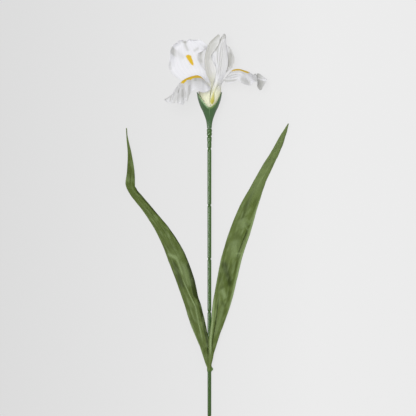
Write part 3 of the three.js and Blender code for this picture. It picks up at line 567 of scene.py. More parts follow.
# The leaves' coat: the width of its streaks, how slowly they change lengthwise, the size of its
# clouds, between which values of the noise each comes up, how far these and the ribs dye it, its
# roughness, and its index, which is less than the 1.5 of a coat because it is dull
STREAK_WIDTH = 4 * MM
STREAK_STRETCH = 0.12
STREAK_NOISE = (0.5, 0.8)
CLOUD_SIZE = 18 * MM
CLOUD_NOISE = (0.5, 0.75)
COAT_SHARE = 0.4
COAT_ROUGHNESS = 0.6
COAT_IOR = 1.25

# The picture is this wide at this height above the table, and its middle lies here from the stem's
# cut end. The sensor and the lens are in millimetres.
VIEW_WIDTH = 540.8 * MM
VIEW_HEIGHT = 20 * MM
VIEW_CENTRE_X = -1.82 * MM
VIEW_CENTRE_Y = 341.9 * MM
SENSOR_WIDTH = 36
LENS = 400
CLIP_RATIO = 10

# The table: half its width, how far its top is below the flower, its own grey, how strongly it
# glows on its darker left side and on its right side, and between where that changes
TABLE_HALF_WIDTH = 8
TABLE_GAP = 0.1 * MM
TABLE_GREY = 0x505050
DIM_SIDE_GLOW = 0.8
BRIGHT_SIDE_GLOW = 0.96
DIM_SIDE_X = -0.27
BRIGHT_SIDE_X = 0.14

# The place, width and length of each light
KEY_PLACE = (-0.32, 0.36, 2.4)
KEY_SIZE = (1, 1)
STRIP_PLACE = (-1.1, -0.1, 1)
STRIP_SIZE = (0.3, 0.9)

# Sockets of the Mix node when it mixes colours
MIX_FACTOR = 0
MIX_A = 6
MIX_B = 7
MIX_RESULT = 2


def linear(hex_colour):
    """The linear colour, with alpha, of an sRGB hex value."""
    channels = [(hex_colour >> shift & 255) / 255 for shift in (16, 8, 0)]
    curve = [c / 12.92 if c <= 0.04045 else ((c + 0.055) / 1.055) ** 2.4 for c in channels]
    return (*curve, 1.0)


def colour_property(name, description, hex_colour):
    """A colour that a user can change, with its default."""
    return bpy.props.FloatVectorProperty(
        name=name, description=description, default=linear(hex_colour),
        subtype="COLOR", size=4, min=0, max=1,
    )


def length_property(name, description, default):
    """A length that a user can change, with its default in metres."""
    return bpy.props.FloatProperty(
        name=name, description=description, default=default, min=0, unit="LENGTH", precision=5,
    )


class IrisPlasticSettings(bpy.types.PropertyGroup):
    """Sizes and colours of the moulded pieces."""

    stem_colour: colour_property("Stem", "Soft green plastic of the stem's sleeve", 0x41612C)
    stem_foot_colour: colour_property("Stem foot", "Its darker green at the cut end", 0x36531E)
    collar_colour: colour_property("Collar", "Leaf green plastic of the leaf collar", 0x557233)
    calyx_colour: colour_property("Calyx", "Dark green plastic of the calyx", 0x45643D)
    calyx_rim_colour: colour_property("Calyx rim", "Olive green where the right lobe is thin", 0x738F4C)
    # This pale green is painted highlight along the left lobe's edge and the flash
    calyx_lip_highlight_colour: colour_property("Calyx lip", "Pale green where the left lobe is thin", 0x93B088)
    peg_colour: colour_property("Peg", "Olive plastic that the petals are set round", 0xA8A645)
    wire_colour: colour_property("Wire", "Bare steel wire in the stem", 0x8B8D90)
    sleeve_wall: length_property("Sleeve wall", "Wall of the stem's sleeve", 0.9 * MM)
    calyx_wall: length_property("Calyx wall", "Wall of the calyx", 0.8 * MM)


class IrisPetalSettings(bpy.types.PropertyGroup):
    """Sizes and colours of the petals."""

    cloth_colour: colour_property("Cloth", "White woven polyester", 0xF2F2F5)
    vein_colour: colour_property("Veins", "Greyer threads in the pressed ribs", 0xE9E9EC)
    # Shade is painted shade on the petals' folds, curls and gaps, with a little real dye
    stain_colour: colour_property("Shade", "Grey breath of dye on the folds", 0xC4C4C0)
    claw_colour: colour_property("Foot", "Pale yellow-green at the petal's foot", 0xF8F8E2)
    drop_colour: colour_property("Deep foot", "Olive dye at the foot of the front standard", 0xDDD65C)
    signal_colour: colour_property("Signal", "Yellow stripe of the falls", 0xE6C520)
    thickness: length_property("Thickness", "Thickness of the cloth", 0.35 * MM)
    rib_height: length_property("Rib height", "How far the pressed ribs stand out", 0.05 * MM)


class IrisLeafSettings(bpy.types.PropertyGroup):
    """Sizes and colours of the leaves."""

    cloth_colour: colour_property("Cloth", "Green coated cloth", 0x58682E)
    # Light is the coat's real streaks, and also painted highlight on crests, folds and lifted margins
    light_colour: colour_property("Light", "Where the coat has rubbed pale", 0x8A9C6C)
    # Dark is the dye's real clouds and veins, and also painted shade in hollows and on curled margins
    dark_colour: colour_property("Dark", "Where the dye has pooled", 0x2E3A0E)
    thickness: length_property("Thickness", "Thickness of the cloth", 0.45 * MM)
    rib_height: length_property("Rib height", "How far the pressed ribs stand out", 0.14 * MM)


class IrisStageSettings(bpy.types.PropertyGroup):
    """Light, table and camera."""

    table_colour: colour_property("Table", "Pale grey table", 0xE4E4E4)
    key_power: bpy.props.FloatProperty(
        name="Key light", description="Power of the large soft light from the upper left",
        default=41, min=0, unit="POWER",
    )
    strip_power: bpy.props.FloatProperty(
        name="Strip light", description="Power of the strip light that the plastic mirrors at its left",
        default=15, min=0, unit="POWER",
    )
    sky_strength: bpy.props.FloatProperty(
        name="Room light", description="Strength of the even light of the room", default=0.56, min=0,
    )


def node(tree, kind, inputs=None, **settings):
    """A new shader node of that kind with its settings. Its inputs are set to a value or linked."""
    made = tree.nodes.new("ShaderNode" + kind)
    for name, value in settings.items():
        setattr(made, name, value)
    for socket, value in (inputs or {}).items():
        if isinstance(value, bpy.types.Node):
            value = value.outputs[0]
        if isinstance(value, bpy.types.NodeSocket):
            tree.links.new(value, made.inputs[socket])
        else:
            made.inputs[socket].default_value = value
    return made


def new_material(name):
    """An empty material, and the node function that adds to it."""
    made = bpy.data.materials.new(name)
    made.use_nodes = True
    made.node_tree.nodes.clear()
    return made, partial(node, made.node_tree)


def dyed(add, colour, dyes):
    """Lays one dye after the other over the colour, each by its own share."""
    for share, dye in dyes:
        layers = {MIX_FACTOR: share, MIX_A: colour, MIX_B: tuple(dye)}
        colour = add("Mix", layers, data_type="RGBA").outputs[MIX_RESULT]
    return colour


def moulded_plastic(name, colour, foot_colour, roughness, mark_size):
    """Soft polyethylene from a mould: a satin skin with faint flow marks and tiny pits.

    Its colour goes from one at the stem's cut end to the other at the throat.
    """
    made, add = new_material(name)
    place = add("TexCoord").outputs["Object"]
    lengthwise = add("SeparateXYZ", {"Vector": place}).outputs["Y"]
    ends = {"From Min": CUT_END_Y, "From Max": CUT_END_Y + THROAT_ALONG}
    height = add("MapRange", {"Value": lengthwise, **ends})
    marks = add("TexNoise", {"Vector": place, "Scale": 1 / mark_size, "Detail": 3})
    darkest, lightest = FLOW_MARK_SHADES
    deep = add("MapRange", {"Value": marks, "To Min": darkest, "To Max": lightest})
    plain = dyed(add, tuple(foot_colour), [(height, colour)])
    shaded = add(
        "Mix", {MIX_FACTOR: 1.0, MIX_A: plain, MIX_B: deep}, data_type="RGBA", blend_type="MULTIPLY"
    )
    pits = add("TexNoise", {"Vector": place, "Scale": 1 / PIT_SIZE, "Detail": 2})
    bump = add("Bump", {"Height": pits, "Strength": PIT_STRENGTH, "Distance": PIT_DEPTH})
    finish = {"Roughness": roughness, "IOR": POLYETHYLENE_IOR, "Normal": bump}
    surface = add("BsdfPrincipled", {"Base Color": shaded.outputs[MIX_RESULT], **finish})
    add("OutputMaterial", {"Surface": surface})
    return made


def calyx_plastic(settings):
    """Dark green polyethylene, paler at its thin rim, with painted highlight: satin, with soft flow
    marks.
    """
    made, add = new_material("moulded_calyx_polyethylene")
    roughness, mark_size = CALYX_FINISH
    place = add("TexCoord").outputs["Object"]
    marks = add("TexNoise", {"Vector": place, "Scale": 1 / mark_size, "Detail": 3})
    dark = (*(c * CALYX_MARK_SHADE for c in settings.calyx_colour[:3]), 1)
    dyes = [
        (marks, settings.calyx_colour),
        (add("Attribute", attribute_name="rim").outputs["Fac"], settings.calyx_rim_colour),
        # Painted highlight along the left lobe's edge and the flash
        (add("Attribute", attribute_name="lip").outputs["Fac"], settings.calyx_lip_highlight_colour),
    ]
    finish = {"Roughness": roughness, "IOR": POLYETHYLENE_IOR}
    surface = add("BsdfPrincipled", {"Base Color": dyed(add, dark, dyes), **finish})
    add("OutputMaterial", {"Surface": surface})
    return made


def drawn_steel(settings):
    """Bare drawn steel wire: grey metal with fine lengthwise scratches."""
    made, add = new_material("drawn_steel_wire")
    place = add("TexCoord").outputs["Object"]
    stretched = add("Mapping", {"Vector": place, "Scale": SCRATCHES})
    scratches = add("TexNoise", {"Vector": stretched, "Scale": 1, "Detail": 2})
    smooth, rough = STEEL_ROUGHNESS
    roughness = add("MapRange", {"Value": scratches, "To Min": smooth, "To Max": rough})
    finish = {"Metallic": 1.0, "Roughness": roughness}
    surface = add("BsdfPrincipled", {"Base Color": tuple(settings.wire_colour), **finish})
    add("OutputMaterial", {"Surface": surface})
    return made


def petal_cloth(settings):
    """White woven polyester, stiffened and heat-pressed: matt, a little light comes through it."""
    made, add = new_material("pressed_polyester_petal")
    # The shade colour among these is painted shade, with a little real dye
    dyes = [
        (add("Attribute", attribute_name=name).outputs["Fac"], getattr(settings, name + "_colour"))
        for name in ("vein", "stain", "claw", "drop", "signal")
    ]
    colour = dyed(add, tuple(settings.cloth_colour), dyes)
    threads = {"Vector": add("UVMap", uv_map="cloth"), "Scale": 1 / (BANDS * THREAD_SPACING)}
    warp, weft = (add("TexWave", threads, bands_direction=axis).outputs["Fac"] for axis in "XY")
    weave = add("Math", {0: warp, 1: weft}, operation="MAXIMUM")
    bump = add("Bump", {"Height": weave, "Strength": THREAD_STRENGTH, "Distance": THREAD_DEPTH})
    finish = {"Roughness": PETAL_ROUGHNESS, "Sheen Weight": PETAL_SHEEN, "Normal": bump}
    front = add("BsdfPrincipled", {"Base Color": colour, **finish})
    through = add("BsdfTranslucent", {"Color": colour, "Normal": bump})
    both = add("MixShader", {0: PETAL_LIGHT_THROUGH, 1: front, 2: through})
    add("OutputMaterial", {"Surface": both})
    return made


def leaf_cloth(settings):
    """Green coated polyester, pressed with lengthwise veins: satin, with painted highlight on its
    ridges.
    """
    made, add = new_material("coated_polyester_leaf")
    cloth = add("UVMap", uv_map="cloth")
    streaked = add("Mapping", {"Vector": cloth, "Scale": (1, STREAK_STRETCH, 1)})
    patterns = [
        (cloth, CLOUD_SIZE, 3, CLOUD_NOISE),
        (streaked, STREAK_WIDTH, 4, STREAK_NOISE),
    ]
    patches = []
    for place, size, detail, (least, most) in patterns:
        pattern = add("TexNoise", {"Vector": place, "Scale": 1 / size, "Detail": detail})
        ends = {"From Min": least, "From Max": most, "To Max": COAT_SHARE}
        patches.append(add("MapRange", {"Value": pattern, **ends}))
    clouds, streaks = patches
    vein, stain, rubbed = (
        add("Attribute", attribute_name=name).outputs["Fac"] for name in ("vein", "stain", "rubbed")
    )
    # Clouds, streaks and veins are the coat's own colour; the last two are painted shade and highlight
    dyes = [
        (clouds, settings.dark_colour),
        (streaks, settings.light_colour),
        (add("Math", {0: vein, 1: COAT_SHARE}, operation="MULTIPLY"), settings.dark_colour),
        (stain, settings.dark_colour),
        (rubbed, settings.light_colour),
    ]
    colour = dyed(add, tuple(settings.cloth_colour), dyes)
    finish = {"Roughness": COAT_ROUGHNESS, "IOR": COAT_IOR}
    surface = add("BsdfPrincipled", {"Base Color": colour, **finish})
    add("OutputMaterial", {"Surface": surface})
    return made


def catmull_rom(points, along):
    """Places on the smooth curve through points, at shares along of its way."""
    last = len(points) - 1
    place = np.clip(along, 0, 1) * last
    index = np.minimum(place.astype(int), last - 1)
    t = (place - index)[:, None]
    padded = np.vstack([2 * points[0] - points[1], points, 2 * points[-1] - points[-2]])
    before, start, end, after = (padded[index + k] for k in range(4))
    leave = (end - before) / 2
    arrive = (after - start) / 2
    cubic = 2 * start - 2 * end + leave + arrive
    square = 3 * end - 3 * start - 2 * leave - arrive
    return cubic * t**3 + square * t**2 + leave * t + start


def tilted(points):
    """Points of the stem's own frame, with y along it, placed on the table."""
    x, y, z = points[..., 0], points[..., 1], points[..., 2]
    placed = [
        x + CUT_END_X,
        y * math.cos(TILT) - z * math.sin(TILT) + CUT_END_Y,
        y * math.sin(TILT) + z * math.cos(TILT) + CUT_END_HEIGHT,
    ]
    return np.stack(placed, axis=-1)


def petal_rows(rows):
    """Rows given from the throat, placed on the table. The petals lean over from their feet up."""
    points = np.array(rows) * MM
    lean = np.clip(1 - points[..., 1] / CLAW_FOOT, 0, 1)
    points[..., 0] += THROAT_LEAN * lean
    points[..., 1] += THROAT_ALONG
    return tilted(points)


def leaf_rows(rows):
    """Rows given on the table from the stem's cut end."""
    placed = [
        [[left, y, low], [(left + right) / 2, y, middle], [right, y, high]]
        for y, left, right, low, middle, high in rows
    ]
    return np.array(placed) * MM + np.array([CUT_END_X, CUT_END_Y, 0])


def plain_surface(rows, along, across):
    """The blade before it is ruffled and folded: three curves joined across by parabolas."""
    v = across[:, None]
    edge, midrib, other = (catmull_rom(rows[:, side], along) for side in range(3))
    return edge * v * (v - 1) / 2 + midrib * (1 - v**2) + other * v * (v + 1) / 2


def smooth_step(x):
    """0 up to 0, 1 from 1 on, and an easy rise between."""
    t = np.clip(x, 0, 1)
    return t * t * (3 - 2 * t)


def soft_edge(x):
    """0 up to -0.5, 1 from 0.5 on, and an easy rise between."""
    return smooth_step(x + 0.5)


def bell(x, middle, half_width):
    """1 at the middle, and an easy fall to 0 on both sides."""
    return np.exp(-(((x - middle) / half_width) ** 2))


def cloth_size(rows, along, across):
    """Where a point lies on the flat cloth, in millimetres: across from the midrib, and along."""
    steps = np.linspace(0, 1, MEASURE_STEPS)
    midrib = catmull_rom(rows[:, 1], steps)
    way = np.concatenate([[0], np.cumsum(np.linalg.norm(np.diff(midrib, axis=0), axis=1))])
    sides = [np.linalg.norm(catmull_rom(rows[:, k], steps) - midrib, axis=1) for k in (0, 2)]
    half = np.where(across < 0, np.interp(along, steps, sides[0]), np.interp(along, steps, sides[1]))
    return across * half / MM, np.interp(along, steps, way) / MM


def soft_line(rows, along, across, mark):
    """Each point's share, from 1 on the mark's line down to 0 away from it and at its ends."""
    side, way = cloth_size(rows, along, across)
    sides, ways = cloth_size(
        rows, np.array([mark.along, mark.to_along]), np.array([mark.across, mark.to_across])
    )
    run = np.array([sides[1] - sides[0], ways[1] - ways[0]])
    length = np.linalg.norm(run)
    run = run / length
    share = ((side - sides[0]) * run[0] + (way - ways[0]) * run[1]) / length
    off = (side - sides[0]) * run[1] - (way - ways[0]) * run[0]
    taper = soft_edge(share * LINE_END) * soft_edge((1 - share) * LINE_END)
    return taper * bell(off, 0, mark.half_width)


def curl_share(curl, along, across):
    """Each point's share of the curl's way in from its hinge to its margin, fading at its ends."""
    middle = (curl.start + curl.end) / 2
    half = (curl.end - curl.start) / 2
    stretch = smooth_step(CURL_END - CURL_END * np.abs(along - middle) / half)
    return stretch * np.clip((across * curl.side - 1 + curl.reach) / curl.reach, 0, 1)


def ruffle_heights(ruffle, along, across):
    """How far the waves of the margins lift each point, in millimetres."""
    growth = np.minimum((along - ruffle.start) / ruffle.growth, (1 - along) / RUFFLE_END)
    wave = np.sin(math.tau * ruffle.waves * along + np.sign(across) * ruffle.shift)
    return ruffle.height * np.clip(growth, 0, 1) * np.abs(across) ** RUFFLE_POWER * wave


def crinkle(rows, along, across):
    """The small dents and streaks of a leaf's cloth from its packing, from -1 to 1."""
    side, way = cloth_size(rows, along, across)
    dents = [
        sum(
            weight * noise.noise(Vector((x / width, y / length, layer)))
            for width, length, layer, weight in CRINKLES
        )
        for x, y in zip(side.tolist(), way.tolist())
    ]
    return np.clip(CRINKLE_CONTRAST * np.array(dents), -1, 1)


def rib_wave(rows, along, across, spacing):
    """The pressed ribs, from -1 to 1. They run together where the blade narrows."""
    steps = np.linspace(0, 1, WIDTH_STEPS)
    widest = np.abs(cloth_size(rows, steps, np.ones_like(steps))[0]).max()
    return np.cos(math.tau * across * widest / spacing)


def shaped_surface(blade, rows, along, across, rib_spacing, settings):
    """The blade with its waves, folds, curls, lobes and pressed ribs, nowhere below the table."""
    flat = np.zeros_like(along)
    before = plain_surface(rows, np.maximum(along - SLOPE_STEP, 0), across)
    after = plain_surface(rows, np.minimum(along + SLOPE_STEP, 1), across)
    left = plain_surface(rows, along, across - SLOPE_STEP)
    crosswise = plain_surface(rows, along, across + SLOPE_STEP) - left
    normal = np.cross(crosswise, after - before)
    normal /= np.linalg.norm(normal, axis=1)[:, None]
    waves = flat if blade.ruffle is None else ruffle_heights(blade.ruffle, along, across)
    folds = sum((fold.height * soft_line(rows, along, across, fold) for fold in blade.folds), flat)
    curls = sum(
        (curl.height * curl_share(curl, along, across) ** CURL_POWER for curl in blade.curls), flat
    )
    lift = waves * MM
    lift += (folds + curls) * MM
    lift += settings.rib_height * rib_wave(rows, along, across, rib_spacing)
    if blade.flush is None:
        lift += CRINKLE_HEIGHT * crinkle(rows, along, across) * MM
    outward = crosswise * np.sign(across)[:, None]
    outward /= np.maximum(np.linalg.norm(outward, axis=1), LEAST_LENGTH)[:, None]
    lobes = [
        lobe.size * np.clip(across * lobe.side, 0, 1) ** LOBE_POWER
        * bell(along, lobe.along, lobe.half_length)
        for lobe in blade.lobes
    ]
    points = plain_surface(rows, along, across) + normal * lift[:, None]
    points = points + outward * sum(lobes, flat)[:, None] * MM
    points[:, 2] = np.maximum(points[:, 2], settings.thickness / 2)
    return points


def dyed_strip(half_width, off):
    """Share of dye of a strip of that half width, at points so far off its middle."""
    return soft_edge((half_width - np.abs(off)) / DYE_EDGE) * (half_width > DYE_LEAST_WIDTH)


def dye_and_shade_marks(blade, rows, along, across, rib_spacing):
    """Where the cloth is dyed, creased or painted with shade and highlight, as a share for each grid
    point.
    """
    plain = np.zeros_like(along)
    # Line marks and curls give painted shade above 0, and on a leaf painted highlight below 0
    touched = [stain.share * soft_line(rows, along, across, stain) for stain in blade.stains]
    touched += [
        curl.share * soft_edge(CURL_PAINTED_SHADE * curl_share(curl, along, across) - 1) for curl in blade.curls
    ]
    marks = {"vein": np.clip(-rib_wave(rows, along, across, rib_spacing), 0, 1)}
    if blade.flush is None:
        # Crinkles give painted shade in their hollows and painted highlight on their crests
        touched.append(-CRINKLE_PAINTED_SHADE * crinkle(rows, along, across))
        marks["rubbed"] = np.max([plain, *(-share for share in touched)], axis=0)
    marks["stain"] = np.max([plain, *touched], axis=0)
    if blade.flush is not None:
        start, end, floor = blade.flush
        marks["claw"] = 1 - (1 - floor) * smooth_step((along - start) / (end - start))
    side, _ = cloth_size(rows, along, across)
    if blade.node == DROP_PETAL:
        rising = np.sqrt(np.clip((along - DROP_END) / (DROP_WIDEST - DROP_END), 0, 1))
        falling = np.clip((DROP_POINT - along) / (DROP_POINT - DROP_WIDEST), 0, 1)
        faded = DROP_FADE * smooth_step((along - DROP_END) / (DROP_POINT - DROP_END))
        strip = dyed_strip(DROP_HALF_WIDTH * np.minimum(rising, falling), side)
        marks["drop"] = (1 - faded) * strip
    signal = blade.signal
    if signal is not None:
        share = np.clip((along - signal.start) / (signal.end - signal.start), 0, 1)
        middle, _ = cloth_size(rows, along, np.full_like(along, signal.across))
        width = signal.half_width * share**signal.taper * smooth_step((1 - share) * SIGNAL_END)
        marks["signal"] = dyed_strip(width, side - middle)
    return marks


def blade_object(blade, rows, grid_size, settings, rib_spacing, material):
    """One petal or leaf: a fine grid moved into its shape, with the cloth's thickness."""
    width_steps, length_steps = grid_size
    mesh = bmesh.new()
    bmesh.ops.create_grid(mesh, x_segments=width_steps, y_segments=length_steps, size=1)
    mesh.verts.ensure_lookup_table()
    grid = np.array([vert.co for vert in mesh.verts])
    across, along = grid[:, 0], (grid[:, 1] + 1) / 2
    side, way = cloth_size(rows, along, across)
    # The map that the materials read, which is as large as the real cloth
    cloth = mesh.loops.layers.uv.new("cloth")
    for face in mesh.faces:
        face.smooth = True
        for loop in face.loops:
            k = loop.vert.index
            loop[cloth].uv = (side[k] * MM, way[k] * MM)
    points = shaped_surface(blade, rows, along, across, rib_spacing, settings)
    for vert, point in zip(mesh.verts, points):
        vert.co = point
    made = finished(blade.name, mesh, material)
    for name, values in dye_and_shade_marks(blade, rows, along, across, rib_spacing).items():
        layer = made.data.attributes.new(name, "FLOAT", "POINT")
        layer.data.foreach_set("value", values.astype(np.float32))
    give_wall(made, settings.thickness, 0)
    return made


def finished(name, mesh, material):
    """Turns a bmesh into an object with that name and material, linked to the scene."""
    data = bpy.data.meshes.new(name)
    mesh.to_mesh(data)
    mesh.free()
    data.materials.append(material)
    made = bpy.data.objects.new(name, data)
    bpy.context.collection.objects.link(made)
    return made


def give_wall(piece, thickness, offset):
    """Gives the piece's skin a wall: inwards where offset is -1, to both sides where it is 0."""
    wall = piece.modifiers.new("wall", "SOLIDIFY")
    wall.thickness = thickness
    wall.offset = offset


def carry(piece, nodes):
    """The piece stands for those nodes of the frame, which it hides, and goes on the root body."""
    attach(piece, "root")
    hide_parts(*nodes)


def add_blades(blades, place_rows, grid_size, settings, rib_spacing, material):
    """Adds a piece for each of those petals or leaves."""
    for blade in blades:
        rows = place_rows(blade.rows)
        piece = blade_object(blade, rows, grid_size, settings, rib_spacing, material)
        carry(piece, [blade.node])


def stem_levels():
    """Levels along the sleeve, close together at its pinches and at its beads."""
    length = STEM_LENGTH / MM
    neck = NECK_START - NECK_REACH
    levels = set(np.arange(0, neck, PLAIN_STEP))
    for pinch in PINCHES:
        levels |= set(np.arange(pinch - PINCH_REACH, pinch + PINCH_REACH, PINCH_STEP))
    return [*sorted(levels), *np.arange(neck, length, NECK_STEP), length]


def sleeve_radius(along):
    """Radius of the stem's sleeve in millimetres, with its grooves and beads."""
    share = along / (STEM_LENGTH / MM)
    radius = (STEM_RADIUS + (STEM_TOP_RADIUS - STEM_RADIUS) * share) / MM
    radius = radius + SLEEVE_SWELL * smooth_step(along / SLEEVE_SWELL_FROM)
    levels, radii = zip(*NECK_RADII)
    radius = np.where(along > NECK_START, np.interp(along, levels, radii), radius)
    for groove, depth in [*((pinch, PINCH_DEPTH) for pinch in PINCHES), *NECK_GROOVES]:
        radius = radius - depth * bell(along, groove, GROOVE_HALF_LENGTH)
    return radius


def wrapped(mesh, sides, levels):
    """Adds a grid to the bmesh, and gives how far round the stem its points go, and their levels."""
    last = len(levels) - 1
    bmesh.ops.create_grid(mesh, x_segments=sides, y_segments=last, size=1)
    grid = np.array([vert.co for vert in mesh.verts])
    row = np.rint((grid[:, 1] + 1) / 2 * last).astype(int)
    return (grid[:, 0] + 1) * math.pi, np.asarray(levels)[row]


def round_stem(radius, level, turn):
    """Places round the stem's axis, in millimetres, with the level from its cut end."""
    return np.stack([radius * np.cos(turn), level, radius * np.sin(turn)], axis=-1)


def turned_piece(name, mesh, points, material):
    """A piece made of the wrapped grid, with its points at those places and its faces outwards."""
    for vert, point in zip(mesh.verts, tilted(points * MM)):
        vert.co = point
    bmesh.ops.remove_doubles(mesh, verts=mesh.verts, dist=MERGE_DISTANCE)
    bmesh.ops.recalc_face_normals(mesh, faces=mesh.faces)
    outwards = 0
    for face in mesh.faces:
        face.smooth = True
        middle = face.calc_center_median()
        axis_height = CUT_END_HEIGHT + (middle.y - CUT_END_Y) * math.tan(TILT)
        outwards += face.normal.dot(Vector((middle.x - CUT_END_X, 0, middle.z - axis_height)))
    if outwards < 0:
        bmesh.ops.reverse_faces(mesh, faces=mesh.faces)
    return finished(name, mesh, material)


class IRIS_OT_add_stem(bpy.types.Operator):
    """Adds the stem's moulded sleeve with its pinched grooves and its beads."""

    bl_idname = "iris.add_stem"
    bl_label = "Stem"

    def execute(self, context):
        settings = context.scene.iris_plastic
        surface = moulded_plastic(
            "moulded_stem_polyethylene", settings.stem_colour, settings.stem_foot_colour, *STEM_FINISH
        )
        mesh = bmesh.new()
        turn, level = wrapped(mesh, STEM_SIDES, stem_levels())
        points = round_stem(sleeve_radius(level), level, turn)
        sleeve = turned_piece("stem_sleeve", mesh, points, surface)
        give_wall(sleeve, settings.sleeve_wall, -1)
        carry(sleeve, ["stem"])
        return {"FINISHED"}


class IRIS_OT_add_collar(bpy.types.Operator):
    """Adds the moulded ring with a knob at the foot of the leaves."""

    bl_idname = "iris.add_collar"
    bl_label = "Leaf collar"

    def execute(self, context):
        green = context.scene.iris_plastic.collar_colour
        surface = moulded_plastic("moulded_collar_polyethylene", green, green, *COLLAR_FINISH)
        mesh = bmesh.new()
        levels = np.linspace(COLLAR_START, COLLAR_END, COLLAR_LEVELS)
        turn, level = wrapped(mesh, COLLAR_SIDES, levels)
        middle = (COLLAR_START + COLLAR_END) / 2
        half = (COLLAR_END - COLLAR_START) / 2
        full = np.clip(1 - (np.abs(level - middle) / half) ** COLLAR_FLATNESS, 0, 1)
        points = round_stem(COLLAR_OUTER_RADIUS - COLLAR_ROUNDING * (1 - full), level, turn)
        along_knob = ((level - KNOB_ALONG) / KNOB_HALF_LENGTH) ** KNOB_FLATNESS
        knob = np.clip(np.cos(turn) * np.exp(-along_knob), 0, 1) ** KNOB_POINTEDNESS
        points[:, 0] += knob * KNOB_HEIGHT
        collar = turned_piece("leaf_collar_ring", mesh, points, surface)
        give_wall(collar, (COLLAR_OUTER_RADIUS - COLLAR_INNER_RADIUS) * MM, -1)
        carry(collar, ["leaf_collar"])
        return {"FINISHED"}


class IRIS_OT_finish_wire(bpy.types.Operator):
    """Gives the wire in the stem its steel."""

    bl_idname = "iris.finish_wire"
    bl_label = "Stem wire"

    def execute(self, context):
        surface = drawn_steel(context.scene.iris_plastic)
        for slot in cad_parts["stem_wire"].material_slots:
            slot.material = surface
        return {"FINISHED"}


class IRIS_OT_add_peg(bpy.types.Operator):
    """Adds the olive peg that the petals are set round."""

    bl_idname = "iris.add_peg"
    bl_label = "Petal peg"

    def execute(self, context):
        olive = context.scene.iris_plastic.peg_colour
        surface = moulded_plastic("moulded_peg_polyethylene", olive, olive, *PEG_FINISH)
        mesh = bmesh.new()
        turn, share = wrapped(mesh, PEG_SIDES, np.linspace(0, 1, PEG_LEVELS))
        radii, heights = zip(*PEG_PROFILE)
        shares = np.linspace(0, 1, len(PEG_PROFILE))
        level = np.interp(share, shares, heights) + THROAT_ALONG / MM
        points = round_stem(np.interp(share, shares, radii), level, turn)
        carry(turned_piece("petal_peg_plug", mesh, points, surface), ["petal_peg"])
        return {"FINISHED"}


class IRIS_OT_add_calyx(bpy.types.Operator):
    """Adds the moulded cup of the calyx with its two lobes and its seam."""

    bl_idname = "iris.add_calyx"
    bl_label = "Calyx"

    def execute(self, context):
        settings = context.scene.iris_plastic
        profile = np.array([[radius, level, 0] for radius, level in CALYX_PROFILE], float)
        radii, levels, _ = catmull_rom(profile, np.linspace(0, 1, CALYX_OUTLINE_STEPS)).T
        mesh = bmesh.new()
        turn, share = wrapped(mesh, CALYX_SIDES, np.linspace(0, 1, CALYX_LEVELS))
        sideways = np.cos(turn)
        power = np.where(sideways < 0, LEFT_LOBE_POWER, RIGHT_LOBE_POWER)
        rise = (CALYX_TIP_LEVEL - CALYX_NOTCH_LEVEL) * np.abs(sideways) ** power
        rise -= RIM_DIP * bell(sideways, RIM_DIP_AT, RIM_DIP_HALF_WIDTH)
        foot = CALYX_PROFILE[0][1]
        level = foot + (CALYX_NOTCH_LEVEL + rise - foot) * share
        seam = SEAM_DEPTH * bell(sideways, 0, SEAM_HALF_WIDTH)
        seam -= FLASH_HEIGHT * bell(sideways, 0, FLASH_HALF_WIDTH)
        ribs = CALYX_RIB_HEIGHT * np.cos(CALYX_RIBS * turn) * smooth_step(share * CALYX_RIB_START)
        across_gate = (sideways - GATE_SIDEWAYS) * np.interp(GATE_LEVEL, levels, radii)
        off_gate = (across_gate / GATE_SIZE) ** 2 + ((level - GATE_LEVEL) / GATE_SIZE) ** 2
        gate = GATE_HEIGHT * np.exp(-off_gate) * (np.sin(turn) > 0)
        radius = np.interp(level, levels, radii) - seam + ribs + gate
        for name, values in self.paleness(turn, share).items():
            layer = mesh.verts.layers.float.new(name)
            for vert, value in zip(mesh.verts, values):
                vert[layer] = value
        points = round_stem(radius, level + THROAT_ALONG / MM, turn)
        cup = turned_piece("calyx_cup", mesh, points, calyx_plastic(settings))
        give_wall(cup, settings.calyx_wall, -1)
        carry(cup, ["calyx"])
        return {"FINISHED"}

    def paleness(self, turn, share):
        """How pale each point is: next to the rim, and painted highlight on the left lobe's edge and
        flash.
        """
        sideways = np.cos(turn)
        front = np.sin(turn) > 0
        edge = smooth_step((share - RIM_PALE_FROM) / RIM_PALE_FADE)
        notch = bell(sideways, NOTCH_PALE_AT, NOTCH_PALE_HALF_WIDTH) * front
        # Painted highlight along the left lobe's front edge, and on the flash
        lip = smooth_step(-sideways * LIP_STEEPNESS)
        lip = lip * smooth_step((sideways - LIP_END) * LIP_END_STEEPNESS) * front
        flash = FLASH_PALENESS * bell(sideways, 0, FLASH_PALE_HALF_WIDTH)
        flash = flash * smooth_step((share - FLASH_PALE_FROM) * FLASH_STEEPNESS)
        return {
            "rim": edge * (RIM_PALENESS + NOTCH_PALENESS * notch),
            "lip": np.maximum(edge * lip * LIP_PALENESS, flash),
        }


class IRIS_OT_add_falls(bpy.types.Operator):
    """Adds the three hanging petals with their yellow signals."""

    bl_idname = "iris.add_falls"
    bl_label = "Falls"

    def execute(self, context):
        settings = context.scene.iris_petals
        surface = petal_cloth(settings)
        add_blades(
            FALLS, petal_rows, FALL_GRID, settings, PETAL_RIB_SPACING, surface
        )
        return {"FINISHED"}


class IRIS_OT_add_standards(bpy.types.Operator):
    """Adds the three upright petals."""

    bl_idname = "iris.add_standards"
    bl_label = "Standards"

    def execute(self, context):
        settings = context.scene.iris_petals
        surface = petal_cloth(settings)
        add_blades(
            STANDARDS, petal_rows, STANDARD_GRID, settings, PETAL_RIB_SPACING, surface,
        )
        return {"FINISHED"}


class IRIS_OT_add_leaves(bpy.types.Operator):
    """Adds the two strap leaves."""

    bl_idname = "iris.add_leaves"
    bl_label = "Leaves"

    def execute(self, context):
        settings = context.scene.iris_leaves
        surface = leaf_cloth(settings)
        add_blades(LEAVES, leaf_rows, LEAF_GRID, settings, LEAF_RIB_SPACING, surface)
        return {"FINISHED"}


